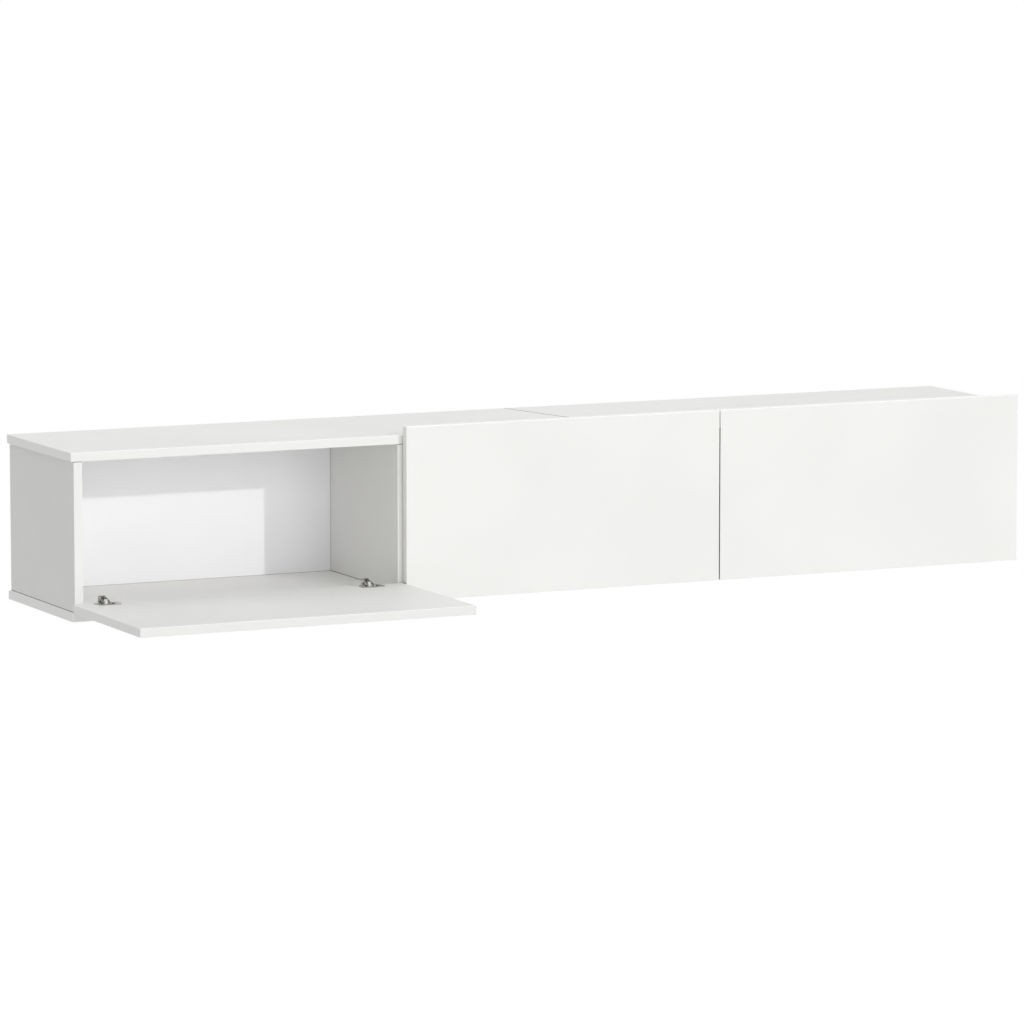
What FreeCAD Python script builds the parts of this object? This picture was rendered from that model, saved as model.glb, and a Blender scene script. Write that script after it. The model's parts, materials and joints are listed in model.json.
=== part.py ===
import FreeCAD, Part
import math
import os

# Wall-hung media console: a board carcass with three compartments, each closed by a drop-down flap.
# Millimetres. +X is right, +Y is towards the wall and +Z is up.
# The origin is on the wall plane, in the middle of the width, at the height of the eyes that
# take the wall hooks.
V = FreeCAD.Vector
X_AXIS = V(1, 0, 0)
Y_AXIS = V(0, 1, 0)
Z_AXIS = V(0, 0, 1)

# ---------------------------------------------------------------- driving sizes: carcass
width = 1800.0              # over the top and bottom panels
body_depth = 300.0          # wall plane to the front edges
body_height = 282.5         # underside to top surface
eye_drop = 45.0             # top surface down to the wall eyes
top_thick = 15.0
bottom_thick = 15.0
side_thick = 15.0
divider_thick = 15.0
back_thick = 3.0
side_inset = 5.0            # the sides stand in from the ends of top and bottom
front_setback = 0.5         # uprights stand back from the front edges of top and bottom
edge_break = 0.6            # bevel on the banded edges

# grooves for the hardboard backs
groove_depth = 4.0
groove_slack = 0.2          # groove wider than the hardboard
groove_end_slack = 0.5      # hardboard short of the groove's floor
recess_depth = 13.0         # wall plane to the rear face of the hardboard

# oblique joint between the two top boards, measured from the middle of the width
seam_back = 34.0
seam_front = 102.0
seam_gap = 0.5

# ---------------------------------------------------------------- driving sizes: flaps
flap_names = ("left", "middle", "right")
open_flaps = ("left",)      # flaps that stand open at rest
flap_thick = 15.0
flap_gap = 2.0              # between neighbouring flaps
front_gap = 2.0             # flap to carcass, shut and open
grip_rise = 15.5            # flap's top edge above the top surface

# ---------------------------------------------------------------- driving sizes: joinery
fit_slack = 0.05            # radial room round screws, dowels and cams
end_slack = 0.5             # blind holes run this much past what they hold
dowel_radius = 4.0
dowel_length = 30.0
dowel_in_panel = 10.5       # how far a dowel stands in the top or bottom panel
dowel_chamfer = 1.0
front_fixing = 50.0         # front edge to the first fixing
rear_fixing = 66.0          # wall plane to the last fixing
dowel_offset = 32.0         # fixing to the dowel beside it

cam_radius = 7.5
cam_floor = 2.5             # board left behind the cam
cam_drop = 34.0             # joint to the cam's centre
cam_cross = 7.0
cam_cross_depth = 2.0
bolt_thread_radius = 2.5
bolt_thread_length = 11.0
bolt_collar_radius = 3.6
bolt_collar_length = 2.0
bolt_shank_radius = 3.0
bolt_neck_radius = 2.0
bolt_neck_length = 7.0
bolt_head_radius = 3.2
bolt_head_length = 4.0
bolt_bore_radius = 4.0

confirmat_length = 50.0
confirmat_radius = 3.5
confirmat_thread_radius = 3.2
confirmat_head_radius = 4.9
confirmat_head_height = 4.0
confirmat_rim = 0.8
confirmat_tip = 3.0
hex_across = 4.0
hex_depth = 2.6

screw_radius = 1.75         # small countersunk screws for plates and hangers
screw_head_radius = 3.4
screw_head_height = 1.7
screw_length = 13.0
screw_tip = 3.0
cross_span = 3.6
cross_width = 0.8
cross_depth = 1.0

joint_plate_length = 80.0
joint_plate_width = 30.0
joint_plate_thick = 2.0
joint_plate_screws = (9.0, 31.0)    # seam to the screws on each side
joint_dowel_front = 30.0    # front edge to the first dowel across the seam
joint_dowel_rear = 55.0     # wall plane to the last one

hanger_thick = 2.0
hanger_height = 56.0
hanger_width = 32.0
hanger_leg = 12.0
hanger_room = 0.5           # hanger's rear face inside the wall plane
eye_radius = 4.5
eye_from_upright = 18.0
hanger_screw_rise = 19.0    # eye height to each hanger screw

# ---------------------------------------------------------------- driving sizes: hinges
hinge_inset = 59.5          # flap's end to the hinge's even place
hinge_shift = -4.5          # both hinges of a flap stand this far left of their even places
cup_radius = 13.0
cup_depth = 11.7
cup_wall = 0.8
cup_edge = 3.5              # flap's lower edge to the cup's bore
flange_length = 41.0
flange_border = 0.4         # flange past the cup, above and below it
flange_corner = 5.0
flange_thick = 1.0
cup_screw_place = 16.9      # cup's middle to the screws in the flange
pin_radius = 1.0
pin_slack = 0.05            # running clearance round a pin
layer_gap = 0.3             # between moving plates
sheet = 1.2                 # plate thickness of links, arms and lugs
eye_wall = 1.2              # metal round a pin
strap_half = 1.6            # half the width of a link
inner_half = 3.0            # half the inner link's breadth along the pins

# link pins in the cup, as (height above the flap's lower edge, depth below its inner face)
inner_cup_place = (9.8, 3.4)
outer_cup_place = (14.5, 0.75)
inner_arm_rise = -4.25      # open flap's inner face up to the inner link's pin on the arm
outer_arm_rise = 6.95
inner_bend = (0.8, -9.0)    # share of the link's length, and offset from its straight line
outer_bend = (0.81, -1.75)
slot_wall = 0.85            # metal round the outer link's slots

plate_line = 23.0           # front edge to the mounting plate's screws
plate_screw_half = 16.0
plate_wing_half = 24.0
plate_wing_depth = 14.0
plate_thick = 2.0
plate_front = 12.0
plate_rear = 35.0
plate_block_height = 6.0
arm_rear = 36.0
arm_rear_height = 8.0
arm_knee = 18.0             # front edge to where the arm comes down to its rear height
arm_shoulder = 6.0          # outer link's pin on the arm to where the arm turns down
arm_skirt = 3.2             # floor to the arm's lower edge
fixing_screw_line = 31.0
fixing_screw_radius = 2.0
fixing_head_radius = 3.4
adjust_screw_line = 23.5
adjust_screw_radius = 1.5
adjust_head_radius = 2.4
arm_screw_head = 1.3
spring_wire = 0.8
spring_room = 0.25          # pin to the spring's coils
spring_leg = 4.5

# ---------------------------------------------------------------- places that follow
right_end = width / 2
top_z = eye_drop
under_z = top_z - body_height
floor_z = under_z + bottom_thick
ceiling_z = top_z - top_thick
front_y = -body_depth
upright_front_y = front_y + front_setback
flap_back_y = front_y - front_gap
flap_front_y = flap_back_y - flap_thick
flap_top_z = top_z + grip_rise
flap_pitch = width / len(flap_names)
flap_width = flap_pitch - flap_gap
back_rear_y = -recess_depth
back_front_y = back_rear_y - back_thick
side_in = right_end - side_inset - side_thick
divider_in = flap_pitch / 2 - divider_thick / 2
divider_out = flap_pitch / 2 + divider_thick / 2
fixing_rows = (front_y + front_fixing, -rear_fixing)
dowel_rows = (front_y + front_fixing + dowel_offset, -rear_fixing - dowel_offset)
cup_middle = cup_edge + cup_radius

# the four uprights: node, left face, right face, and the side that its cams and hanger are on
uprights = (
    ("side_panel_left", -side_in - side_thick, -side_in, 1),
    ("divider_left", -divider_out, -divider_in, 1),
    ("divider_right", divider_in, divider_out, -1),
    ("side_panel_right", side_in, side_in + side_thick, -1),
)


# ---------------------------------------------------------------- small makers
def block(x0, x1, y0, y1, z0, z1):
    return Part.makeBox(x1 - x0, y1 - y0, z1 - z0, V(x0, y0, z0))


def rod(radius, start, direction, length):
    return Part.makeCylinder(radius, length, start, direction)


def eased(shape, pick=None):
    """Bevel the edges that pick accepts, or all of them."""
    edges = [edge for edge in shape.Edges if pick is None or pick(edge)]
    return shape.makeChamfer(edge_break, edges)


def turned(profile, point, direction):
    """Solid of revolution from (radius, height) points, set up along direction from point."""
    points = [V(radius, 0, height) for radius, height in profile]
    face = Part.Face(Part.makePolygon(points + points[:1]))
    solid = face.revolve(V(0, 0, 0), Z_AXIS, 360)
    solid.Placement = FreeCAD.Placement(point, FreeCAD.Rotation(Z_AXIS, direction))
    return solid


def cross_recess(point, direction, span, depth):
    """Two crossed slots that sink from point along direction."""
    slots = [
        block(-span / 2, span / 2, -cross_width / 2, cross_width / 2, -depth, depth),
        block(-cross_width / 2, cross_width / 2, -span / 2, span / 2, -depth, depth),
    ]
    cross = slots[0].fuse(slots[1])
    cross.Placement = FreeCAD.Placement(point, FreeCAD.Rotation(Z_AXIS, direction))
    return cross


def cut(shape, tools):
    return shape.cut(Part.makeCompound(tools))


def save(node, shapes):
    shape = shapes[0] if len(shapes) == 1 else Part.makeCompound(shapes)
    shape.exportStep("parts/" + node + ".step")
    print(node, len(shape.Solids), "solids, valid", shape.isValid())


# ---------------------------------------------------------------- screws, dowels and cams
def dowel(start, direction):
    body = [
        (0, 0),
        (dowel_radius - dowel_chamfer, 0),
        (dowel_radius, dowel_chamfer),
        (dowel_radius, dowel_length - dowel_chamfer),
        (dowel_radius - dowel_chamfer, dowel_length),
        (0, dowel_length),
    ]
    return turned(body, start, direction)


def dowel_hole(start, direction):
    length = dowel_length + 2 * end_slack
    return rod(dowel_radius + fit_slack, start - direction * end_slack, direction, length)


def screw_body(slack):
    return [
        (0, 0),
        (screw_head_radius + slack, 0),
        (screw_radius + slack, screw_head_height),
        (screw_radius + slack, screw_length - screw_tip),
        (slack, screw_length),
        (0, screw_length),
    ]


def screw(point, direction):
    """Countersunk screw with its head's face at point, pointing along direction."""
    profile = screw_body(0)[:-1]
    return turned(profile, point, direction).cut(
        cross_recess(point, direction, cross_span, cross_depth))


def screw_hole(point, direction):
    return turned(screw_body(fit_slack), point, direction)


def confirmat_body(slack):
    return [
        (0, 0),
        (confirmat_head_radius + slack, 0),
        (confirmat_head_radius + slack, confirmat_rim),
        (confirmat_radius + slack, confirmat_head_height),
        (confirmat_radius + slack, bottom_thick),
        (confirmat_thread_radius + slack, bottom_thick),
        (confirmat_thread_radius + slack, confirmat_length - confirmat_tip),
        (slack, confirmat_length),
        (0, confirmat_length),
    ]


def confirmat(point):
    corner = hex_across / math.sqrt(3)
    turns = [math.radians(60 * step) for step in range(7)]
    ring = [point + V(corner * math.cos(turn), corner * math.sin(turn), 0) for turn in turns]
    socket = Part.Face(Part.makePolygon(ring)).extrude(Z_AXIS * hex_depth)
    return turned(confirmat_body(0)[:-1], point, Z_AXIS).cut(socket)


def confirmat_hole(point):
    return turned(confirmat_body(fit_slack), point, Z_AXIS)


def cam_bolt(point):
    """Bolt that stands in the top panel above point and hangs into the upright below it."""
    neck_end = cam_drop + bolt_head_length / 2 - bolt_head_length
    return turned([
        (0, -bolt_thread_length),
        (bolt_thread_radius, -bolt_thread_length),
        (bolt_thread_radius, 0),
        (bolt_collar_radius, 0),
        (bolt_collar_radius, bolt_collar_length),
        (bolt_shank_radius, bolt_collar_length),
        (bolt_shank_radius, neck_end - bolt_neck_length),
        (bolt_neck_radius, neck_end - bolt_neck_length),
        (bolt_neck_radius, neck_end),
        (bolt_head_radius, neck_end),
        (bolt_head_radius, neck_end + bolt_head_length),
        (0, neck_end + bolt_head_length),
    ], point, -Z_AXIS)


def bolt_thread_hole(point):
    return rod(bolt_thread_radius + fit_slack, point, Z_AXIS, bolt_thread_length + end_slack)


def bolt_bore(point):
    return rod(bolt_bore_radius, point, -Z_AXIS, cam_drop + bolt_bore_radius)


def cam_hole(upright, y):
    name, left, right, side = upright
    face = right if side > 0 else left
    centre = V(face, y, ceiling_z - cam_drop)
    return rod(cam_radius + fit_slack, centre, X_AXIS * -side, right - left - cam_floor)


def cam(upright, y):
    name, left, right, side = upright
    face = right if side > 0 else left
    centre = V(face, y, ceiling_z - cam_drop)
    body = rod(cam_radius, centre, X_AXIS * -side, right - left - cam_floor - fit_slack)
    recess = cross_recess(centre, X_AXIS * side, cam_cross, cam_cross_depth)
    return cut(body, [bolt_bore(V((left + right) / 2, y, ceiling_z)), recess])


# where the fixings stand, as points on the joint faces
def joint_points(rows, z):
    return [V((left + right) / 2, y, z) for name, left, right, side in uprights for y in rows]


top_bolt_points = joint_points(fixing_rows, ceiling_z)
confirmat_points = joint_points(fixing_rows, under_z)
top_dowel_starts = joint_points(dowel_rows, ceiling_z + dowel_in_panel)
bottom_dowel_starts = joint_points(dowel_rows, floor_z - dowel_in_panel)


# ---------------------------------------------------------------- oblique joint in the top
def seam_x(y):
    return seam_back + (seam_front - seam_back) * y / front_y


seam_run = V(seam_front - seam_back, front_y, 0).normalize()
seam_across = V(-seam_run.y, seam_run.x, 0)
first_dowel_y = front_y + joint_dowel_front
dowel_step = (-joint_dowel_rear - first_dowel_y) / 2
seam_dowel_rows = [first_dowel_y + dowel_step * step for step in range(3)]
seam_plate_rows = [first_dowel_y + dowel_step * (step + 0.5) for step in range(2)]


def seam_dowel_starts():
    middle_z = ceiling_z + top_thick / 2
    middles = [V(seam_x(y), y, middle_z) for y in seam_dowel_rows]
    return [middle - seam_across * (dowel_length / 2) for middle in middles]


def seam_screw_points(y):
    middle = V(seam_x(y), y, ceiling_z - joint_plate_thick)
    return [middle + seam_across * (side * place) for side in (-1, 1) for place in joint_plate_screws]


def seam_plate(y):
    plate = block(
        -joint_plate_length / 2, joint_plate_length / 2,
        -joint_plate_width / 2, joint_plate_width / 2,
        -joint_plate_thick, 0)
    plate.Placement = FreeCAD.Placement(
        V(seam_x(y), y, ceiling_z), FreeCAD.Rotation(X_AXIS, seam_across))
    return cut(plate, [screw_hole(point, Z_AXIS) for point in seam_screw_points(y)])


seam_screws = [point for y in seam_plate_rows for point in seam_screw_points(y)]


# ---------------------------------------------------------------- wall hangers
def hanger_screw_points(upright):
    name, left, right, side = upright
    x = (right if side > 0 else left) + side * hanger_thick
    y = -hanger_room - (hanger_leg + hanger_thick) / 2
    return [V(x, y, -hanger_screw_rise), V(x, y, hanger_screw_rise)]


def span(start, side, length):
    return (start, start + length) if side > 0 else (start - length, start)


def hanger(upright):
    """Steel angle: one leg on the upright, the other behind the wall plane with the eye in it."""
    name, left, right, side = upright
    face = right if side > 0 else left
    half = hanger_height / 2
    leg_x = span(face, side, hanger_thick)
    eye_x = span(face, side, hanger_width)
    leg = block(*leg_x, -hanger_room - hanger_leg, -hanger_room, -half, half)
    wall_leg = block(*eye_x, -hanger_room - hanger_thick, -hanger_room, -half, half)
    eye = rod(eye_radius, V(face + side * eye_from_upright, -hanger_leg, 0), Y_AXIS, 2 * hanger_leg)
    holes = [screw_hole(point, X_AXIS * -side) for point in hanger_screw_points(upright)]
    return cut(leg.fuse(wall_leg).removeSplitter(), [eye] + holes)


# ---------------------------------------------------------------- hinge motion, seen along X
# Points here are (y, z) pairs. The flap turns a quarter about a pole that stands half way round
# between its shut place and its open place.
pole = (front_y - front_gap - (bottom_thick + flap_thick) / 2, under_z + (bottom_thick + flap_thick) / 2)


def turn_about(centre, point, degrees):
    angle = math.radians(degrees)
    y = point[0] - centre[0]
    z = point[1] - centre[1]
    return (
        centre[0] + y * math.cos(angle) - z * math.sin(angle),
        centre[1] + y * math.sin(angle) + z * math.cos(angle),
    )


def heading(start, end):
    return math.degrees(math.atan2(end[1] - start[1], end[0] - start[0]))


def cup_pin_place(pin):
    height, depth = pin
    return (flap_back_y - depth, under_z + height)


def arm_pin_place(pin, rise):
    """Pin on the arm: equally far from the cup pin's shut and open places."""
    half_way = math.radians(heading(pole, turn_about(pole, pin, 45)))
    height = floor_z + flap_thick + rise - pole[1]
    return (pole[0] + height / math.tan(half_way), pole[1] + height)


def swing_of(arm_pin, cup_pin):
    """Degrees that a link turns as the flap opens."""
    change = heading(arm_pin, turn_about(pole, cup_pin, 90)) - heading(arm_pin, cup_pin)
    return (change + 180) % 360 - 180


def bend_place(start, end, bend):
    share, offset = bend
    dy = end[0] - start[0]
    dz = end[1] - start[1]
    length = math.hypot(dy, dz)
    return (
        start[0] + dy * share - dz / length * offset,
        start[1] + dz * share + dy / length * offset,
    )


inner_cup_pin = cup_pin_place(inner_cup_place)
outer_cup_pin = cup_pin_place(outer_cup_place)
inner_arm_pin = arm_pin_place(inner_cup_pin, inner_arm_rise)
outer_arm_pin = arm_pin_place(outer_cup_pin, outer_arm_rise)
inner_swing = swing_of(inner_arm_pin, inner_cup_pin)
outer_swing = swing_of(outer_arm_pin, outer_cup_pin)


def cup_pin_in_outer_link(turn):
    """Where the cup's outer pin stands, seen from the outer link, with the flap open by turn."""
    inner_turn = inner_swing * turn / 90
    outer_turn = outer_swing * turn / 90
    on_link = turn_about(inner_cup_pin, outer_cup_pin, turn - inner_turn)
    on_arm = turn_about(inner_arm_pin, on_link, inner_turn)
    return turn_about(outer_arm_pin, on_arm, -outer_turn)


def slot_shape():
    """Far end of the outer link's slots, and half their width: both links turn evenly, so the
    cup's pin runs out along the slots and back, and strays a little to the side."""
    path = [cup_pin_in_outer_link(turn) for turn in range(0, 91, 5)]
    far = max(path, key=lambda place: math.dist(place, outer_cup_pin))
    length = math.dist(far, outer_cup_pin)
    run = ((far[0] - outer_cup_pin[0]) / length, (far[1] - outer_cup_pin[1]) / length)
    strays = [
        abs((place[1] - outer_cup_pin[1]) * run[0] - (place[0] - outer_cup_pin[0]) * run[1])
        for place in path
    ]
    return far, pin_radius + pin_slack + max(strays)


slot_far, slot_half = slot_shape()

# layers along the pins, outward from the hinge's middle plane
nose_in = inner_half + layer_gap
nose_out = nose_in + sheet
link_in = nose_out + layer_gap
link_out = link_in + sheet
lug_in = link_out + layer_gap
lug_out = lug_in + sheet
pin_eye = pin_radius + eye_wall
spring_inner = pin_radius + spring_room
spring_outer = spring_inner + spring_wire


# ---------------------------------------------------------------- hinge pieces at X = 0, flap shut
def disc(place, radius, x0, x1):
    return rod(radius, V(x0, place[0], place[1]), X_AXIS, x1 - x0)


def prism(outline, x0, x1):
    """Solid between two X planes from a closed outline of (y, z) points."""
    points = [V(x0, y, z) for y, z in outline]
    return Part.Face(Part.makePolygon(points + points[:1])).extrude(V(x1 - x0, 0, 0))


def bar(start, end, half, x0, x1):
    """Flat strip of the given half width from start to end."""
    length = math.hypot(end[0] - start[0], end[1] - start[1])
    dy = (end[0] - start[0]) / length * half
    dz = (end[1] - start[1]) / length * half
    return prism([
        (start[0] - dz, start[1] + dy),
        (end[0] - dz, end[1] + dy),
        (end[0] + dz, end[1] - dy),
        (start[0] + dz, start[1] - dy),
    ], x0, x1)


def strap(places, half, x0, x1):
    """Bent strip with round ends and corners through the places."""
    pieces = [disc(place, half, x0, x1) for place in places]
    pieces += [bar(start, end, half, x0, x1) for start, end in zip(places, places[1:])]
    return pieces[0].multiFuse(pieces[1:])


def both_sides(low, high):
    return ((low, high), (-high, -low))


def inner_link():
    """Turns on the arm's fixed pin and on the cup's, so it carries the flap."""
    low = -inner_half
    high = inner_half
    bend = bend_place(inner_arm_pin, inner_cup_pin, inner_bend)
    body = strap([inner_arm_pin, bend, inner_cup_pin], strap_half, low, high)
    eyes = [disc(place, pin_eye, low, high) for place in (inner_arm_pin, inner_cup_pin)]
    holes = [disc(place, pin_radius + pin_slack, low, high) for place in (inner_arm_pin, inner_cup_pin)]
    return cut(body.multiFuse(eyes), holes).removeSplitter()


def outer_link():
    """Two plates, riveted to the pin in the arm, with slots round the cup's outer pin."""
    bend = bend_place(outer_arm_pin, outer_cup_pin, outer_bend)
    plates = []
    for x0, x1 in both_sides(link_in, link_out):
        body = strap([outer_arm_pin, bend, outer_cup_pin], strap_half, x0, x1)
        ends = [
            disc(outer_arm_pin, pin_eye, x0, x1),
            strap([outer_cup_pin, slot_far], slot_half + slot_wall, x0, x1),
        ]
        holes = [
            disc(outer_arm_pin, pin_radius, x0, x1),
            strap([outer_cup_pin, slot_far], slot_half, x0, x1),
        ]
        plates.append(cut(body.multiFuse(ends), holes).removeSplitter())
    return plates


def outer_link_pin():
    return disc(outer_arm_pin, pin_radius, -link_out, link_out)


def cup_pins():
    """One pin for the inner link, and a stub at each side for the outer link's slots."""
    pins = [disc(inner_cup_pin, pin_radius, -nose_out, nose_out)]
    return pins + [disc(outer_cup_pin, pin_radius, x0, x1) for x0, x1 in both_sides(link_in, lug_out)]


def cup_screw_points(x):
    middle_z = under_z + cup_middle
    return [V(x + side * cup_screw_place, flap_back_y + flange_thick, middle_z) for side in (-1, 1)]


def flange():
    half_height = cup_radius + flange_border
    plate = block(
        -flange_length / 2, flange_length / 2, flap_back_y, flap_back_y + flange_thick,
        under_z + cup_middle - half_height, under_z + cup_middle + half_height)
    corners = [edge for edge in plate.Edges if abs(edge.tangentAt(edge.FirstParameter).y) > 0.9]
    return plate.makeFillet(flange_corner, corners)


def cup():
    """Sunk cup with a screwed flange on the flap's inner face, and two pairs of pin lugs."""
    mouth = V(0, flap_back_y + flange_thick, under_z + cup_middle)
    outside = rod(cup_radius, mouth, -Y_AXIS, cup_depth + flange_thick)
    hollow = rod(cup_radius - cup_wall, mouth, -Y_AXIS, cup_depth + flange_thick - cup_wall)
    shell = cut(outside.fuse(flange()), [hollow])
    floor_y = flap_back_y - cup_depth + cup_wall / 2
    lugs = []
    holes = []
    for pin, low, high in ((inner_cup_pin, nose_in, nose_out), (outer_cup_pin, lug_in, lug_out)):
        for x0, x1 in both_sides(low, high):
            lugs.append(disc(pin, pin_eye, x0, x1))
            lugs.append(block(x0, x1, floor_y, pin[0], pin[1] - pin_eye, pin[1] + pin_eye))
        holes.append(disc(pin, pin_radius, -high, high))
    holes += [screw_hole(point, -Y_AXIS) for point in cup_screw_points(0)]
    return cut(shell.multiFuse(lugs), holes).removeSplitter()


def below(line, depth):
    """Points that lie one depth under a bent line, with its corners mitred."""
    slopes = [heading(start, end) for start, end in zip(line, line[1:])]
    points = []
    for place, before, after in zip(line, slopes[:1] + slopes, slopes + slopes[-1:]):
        half_way = math.radians((before + after) / 2)
        reach = depth / math.cos(math.radians((after - before) / 2))
        points.append((place[0] + math.sin(half_way) * reach, place[1] - math.cos(half_way) * reach))
    return points


def arm():
    """Folded steel channel: a raised nose that carries the links, and a low tail over the plate."""
    tail_top = floor_z + arm_rear_height
    skirt = floor_z + arm_skirt
    crown = outer_arm_pin[1] + spring_outer + sheet
    nose = outer_arm_pin[0] - spring_outer
    knee = front_y + arm_knee
    rear = front_y + arm_rear
    roof = [(nose, crown), (outer_arm_pin[0] + arm_shoulder, crown), (knee, tail_top), (rear, tail_top)]
    low_edge = [(rear, skirt), (knee, skirt), (inner_arm_pin[0], inner_arm_pin[1] - pin_eye)]
    eyes = [disc(place, pin_eye, -nose_out, nose_out) for place in (inner_arm_pin, outer_arm_pin)]
    body = prism(roof + low_edge, -nose_out, nose_out).multiFuse(eyes)
    # the room inside is open at the front, below and behind
    inner_roof = below(roof, sheet)
    front = (nose - sheet, inner_roof[0][1])
    room = [front] + inner_roof + [(rear, skirt - sheet), (nose - sheet, skirt - sheet)]
    holes = [
        prism(room, -nose_in, nose_in),
        disc(inner_arm_pin, pin_radius, -nose_out, nose_out),
        disc(outer_arm_pin, pin_radius + pin_slack, -nose_out, nose_out),
        arm_screw_hole(fixing_screw_line, fixing_screw_radius),
        arm_screw_hole(adjust_screw_line, adjust_screw_radius),
    ]
    return cut(body, holes).removeSplitter()


def arm_screw_hole(line, radius):
    start = V(0, front_y + line, floor_z + plate_thick)
    return rod(radius + fit_slack, start, Z_AXIS, arm_rear_height)


def arm_screw(line, radius, head_radius):
    """Machine screw through the arm's roof into the mounting plate."""
    top = V(0, front_y + line, floor_z + arm_rear_height + arm_screw_head)
    length = arm_screw_head + arm_rear_height - plate_thick
    body = turned([
        (0, 0),
        (head_radius, 0),
        (head_radius, arm_screw_head),
        (radius, arm_screw_head),
        (radius, length),
        (0, length),
    ], top, -Z_AXIS)
    return body.cut(cross_recess(top, -Z_AXIS, head_radius, cross_depth))


def arm_pin():
    return disc(inner_arm_pin, pin_radius, -nose_out, nose_out)


def spring():
    """Close-wound closing spring round the outer link's pin, its leg against the arm's roof."""
    coils = int(2 * inner_half / spring_wire)
    start = -coils * spring_wire / 2
    crest = spring_outer - spring_wire / 4
    profile = [(spring_inner, start)]
    for coil in range(coils):
        low = start + coil * spring_wire
        profile += [(crest, low), (spring_outer, low + spring_wire / 2)]
    profile += [(crest, -start), (spring_inner, -start)]
    body = turned(profile, V(0, outer_arm_pin[0], outer_arm_pin[1]), X_AXIS)
    leg_radius = spring_wire / 2
    leg_start = V(leg_radius, outer_arm_pin[0], outer_arm_pin[1] + spring_outer - leg_radius)
    return body.fuse(rod(leg_radius, leg_start, Y_AXIS, spring_leg)).removeSplitter()


def mounting_plate():
    line = front_y + plate_line
    half = plate_wing_depth / 2
    wings = block(
        -plate_wing_half, plate_wing_half, line - half, line + half, floor_z, floor_z + plate_thick)
    spine_half = nose_in - layer_gap
    spine = block(
        -spine_half, spine_half, front_y + plate_front, front_y + plate_rear,
        floor_z, floor_z + plate_block_height)
    corners = [edge for edge in wings.Edges if abs(edge.tangentAt(edge.FirstParameter).z) > 0.9]
    wings = wings.makeFillet(half * 0.8, corners)
    holes = [screw_hole(point, -Z_AXIS) for point in plate_screw_points(0)]
    holes.append(arm_screw_hole(fixing_screw_line, fixing_screw_radius))
    holes.append(arm_screw_hole(adjust_screw_line, adjust_screw_radius))
    return cut(wings.fuse(spine), holes).removeSplitter()


def plate_screw_points(x):
    return [
        V(x + side * plate_screw_half, front_y + plate_line, floor_z + plate_thick)
        for side in (-1, 1)
    ]


# ---------------------------------------------------------------- placing the hinges and flaps
def flap_middle(name):
    return (flap_names.index(name) - (len(flap_names) - 1) / 2) * flap_pitch


def hinge_places(name):
    middle = flap_middle(name) + hinge_shift
    reach = flap_width / 2 - hinge_inset
    return [middle - reach, middle + reach]


def all_hinge_places():
    return [x for name in flap_names for x in hinge_places(name)]


def shifted(shape, x):
    copy = shape.copy()
    copy.translate(V(x, 0, 0))
    return copy


def turned_open(shape, name, centre, degrees):
    """Rest pose of a moving piece: turned when its flap stands open."""
    copy = shape.copy()
    if name in open_flaps:
        copy.rotate(V(0, centre[0], centre[1]), X_AXIS, degrees)
    return copy


def flap_board(name):
    middle = flap_middle(name)
    board = eased(block(
        middle - flap_width / 2, middle + flap_width / 2,
        flap_front_y, flap_back_y, under_z, flap_top_z))
    bores = [
        rod(cup_radius + fit_slack, V(x, flap_back_y, under_z + cup_middle), -Y_AXIS,
            cup_depth + fit_slack)
        for x in hinge_places(name)
    ]
    pilots = [screw_hole(point, -Y_AXIS) for x in hinge_places(name) for point in cup_screw_points(x)]
    return cut(board, bores + pilots)


# ---------------------------------------------------------------- carcass boards
def back_groove(x0, x1, z0, z1):
    return block(x0, x1, back_front_y - groove_slack / 2, back_rear_y + groove_slack / 2, z0, z1)


def long_groove(z0, z1):
    return back_groove(-side_in - groove_depth, side_in + groove_depth, z0, z1)


def top_board(outline, tools):
    points = [V(x, y, ceiling_z) for x, y in outline]
    board = Part.Face(Part.makePolygon(points + points[:1])).extrude(Z_AXIS * top_thick)
    return cut(eased(board), tools)


def top_tools():
    tools = [long_groove(ceiling_z, ceiling_z + groove_depth)]
    tools += [bolt_thread_hole(point) for point in top_bolt_points]
    tools += [dowel_hole(point, -Z_AXIS) for point in top_dowel_starts]
    tools += [dowel_hole(point, seam_across) for point in seam_dowel_starts()]
    tools += [screw_hole(point, Z_AXIS) for point in seam_screws]
    return tools


def top_boards():
    front_x = seam_x(front_y)
    back_x = seam_x(0)
    half = seam_gap / 2
    left = [(-right_end, front_y), (front_x - half, front_y), (back_x - half, 0), (-right_end, 0)]
    right = [(right_end, 0), (back_x + half, 0), (front_x + half, front_y), (right_end, front_y)]
    return top_board(left, top_tools()), top_board(right, top_tools())


def bottom_board():
    board = eased(block(-right_end, right_end, front_y, 0, under_z, floor_z))
    tools = [long_groove(floor_z - groove_depth, floor_z)]
    tools += [confirmat_hole(point) for point in confirmat_points]
    tools += [dowel_hole(point, Z_AXIS) for point in bottom_dowel_starts]
    for x in all_hinge_places():
        tools += [screw_hole(point, -Z_AXIS) for point in plate_screw_points(x)]
    return cut(board, tools)


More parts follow.
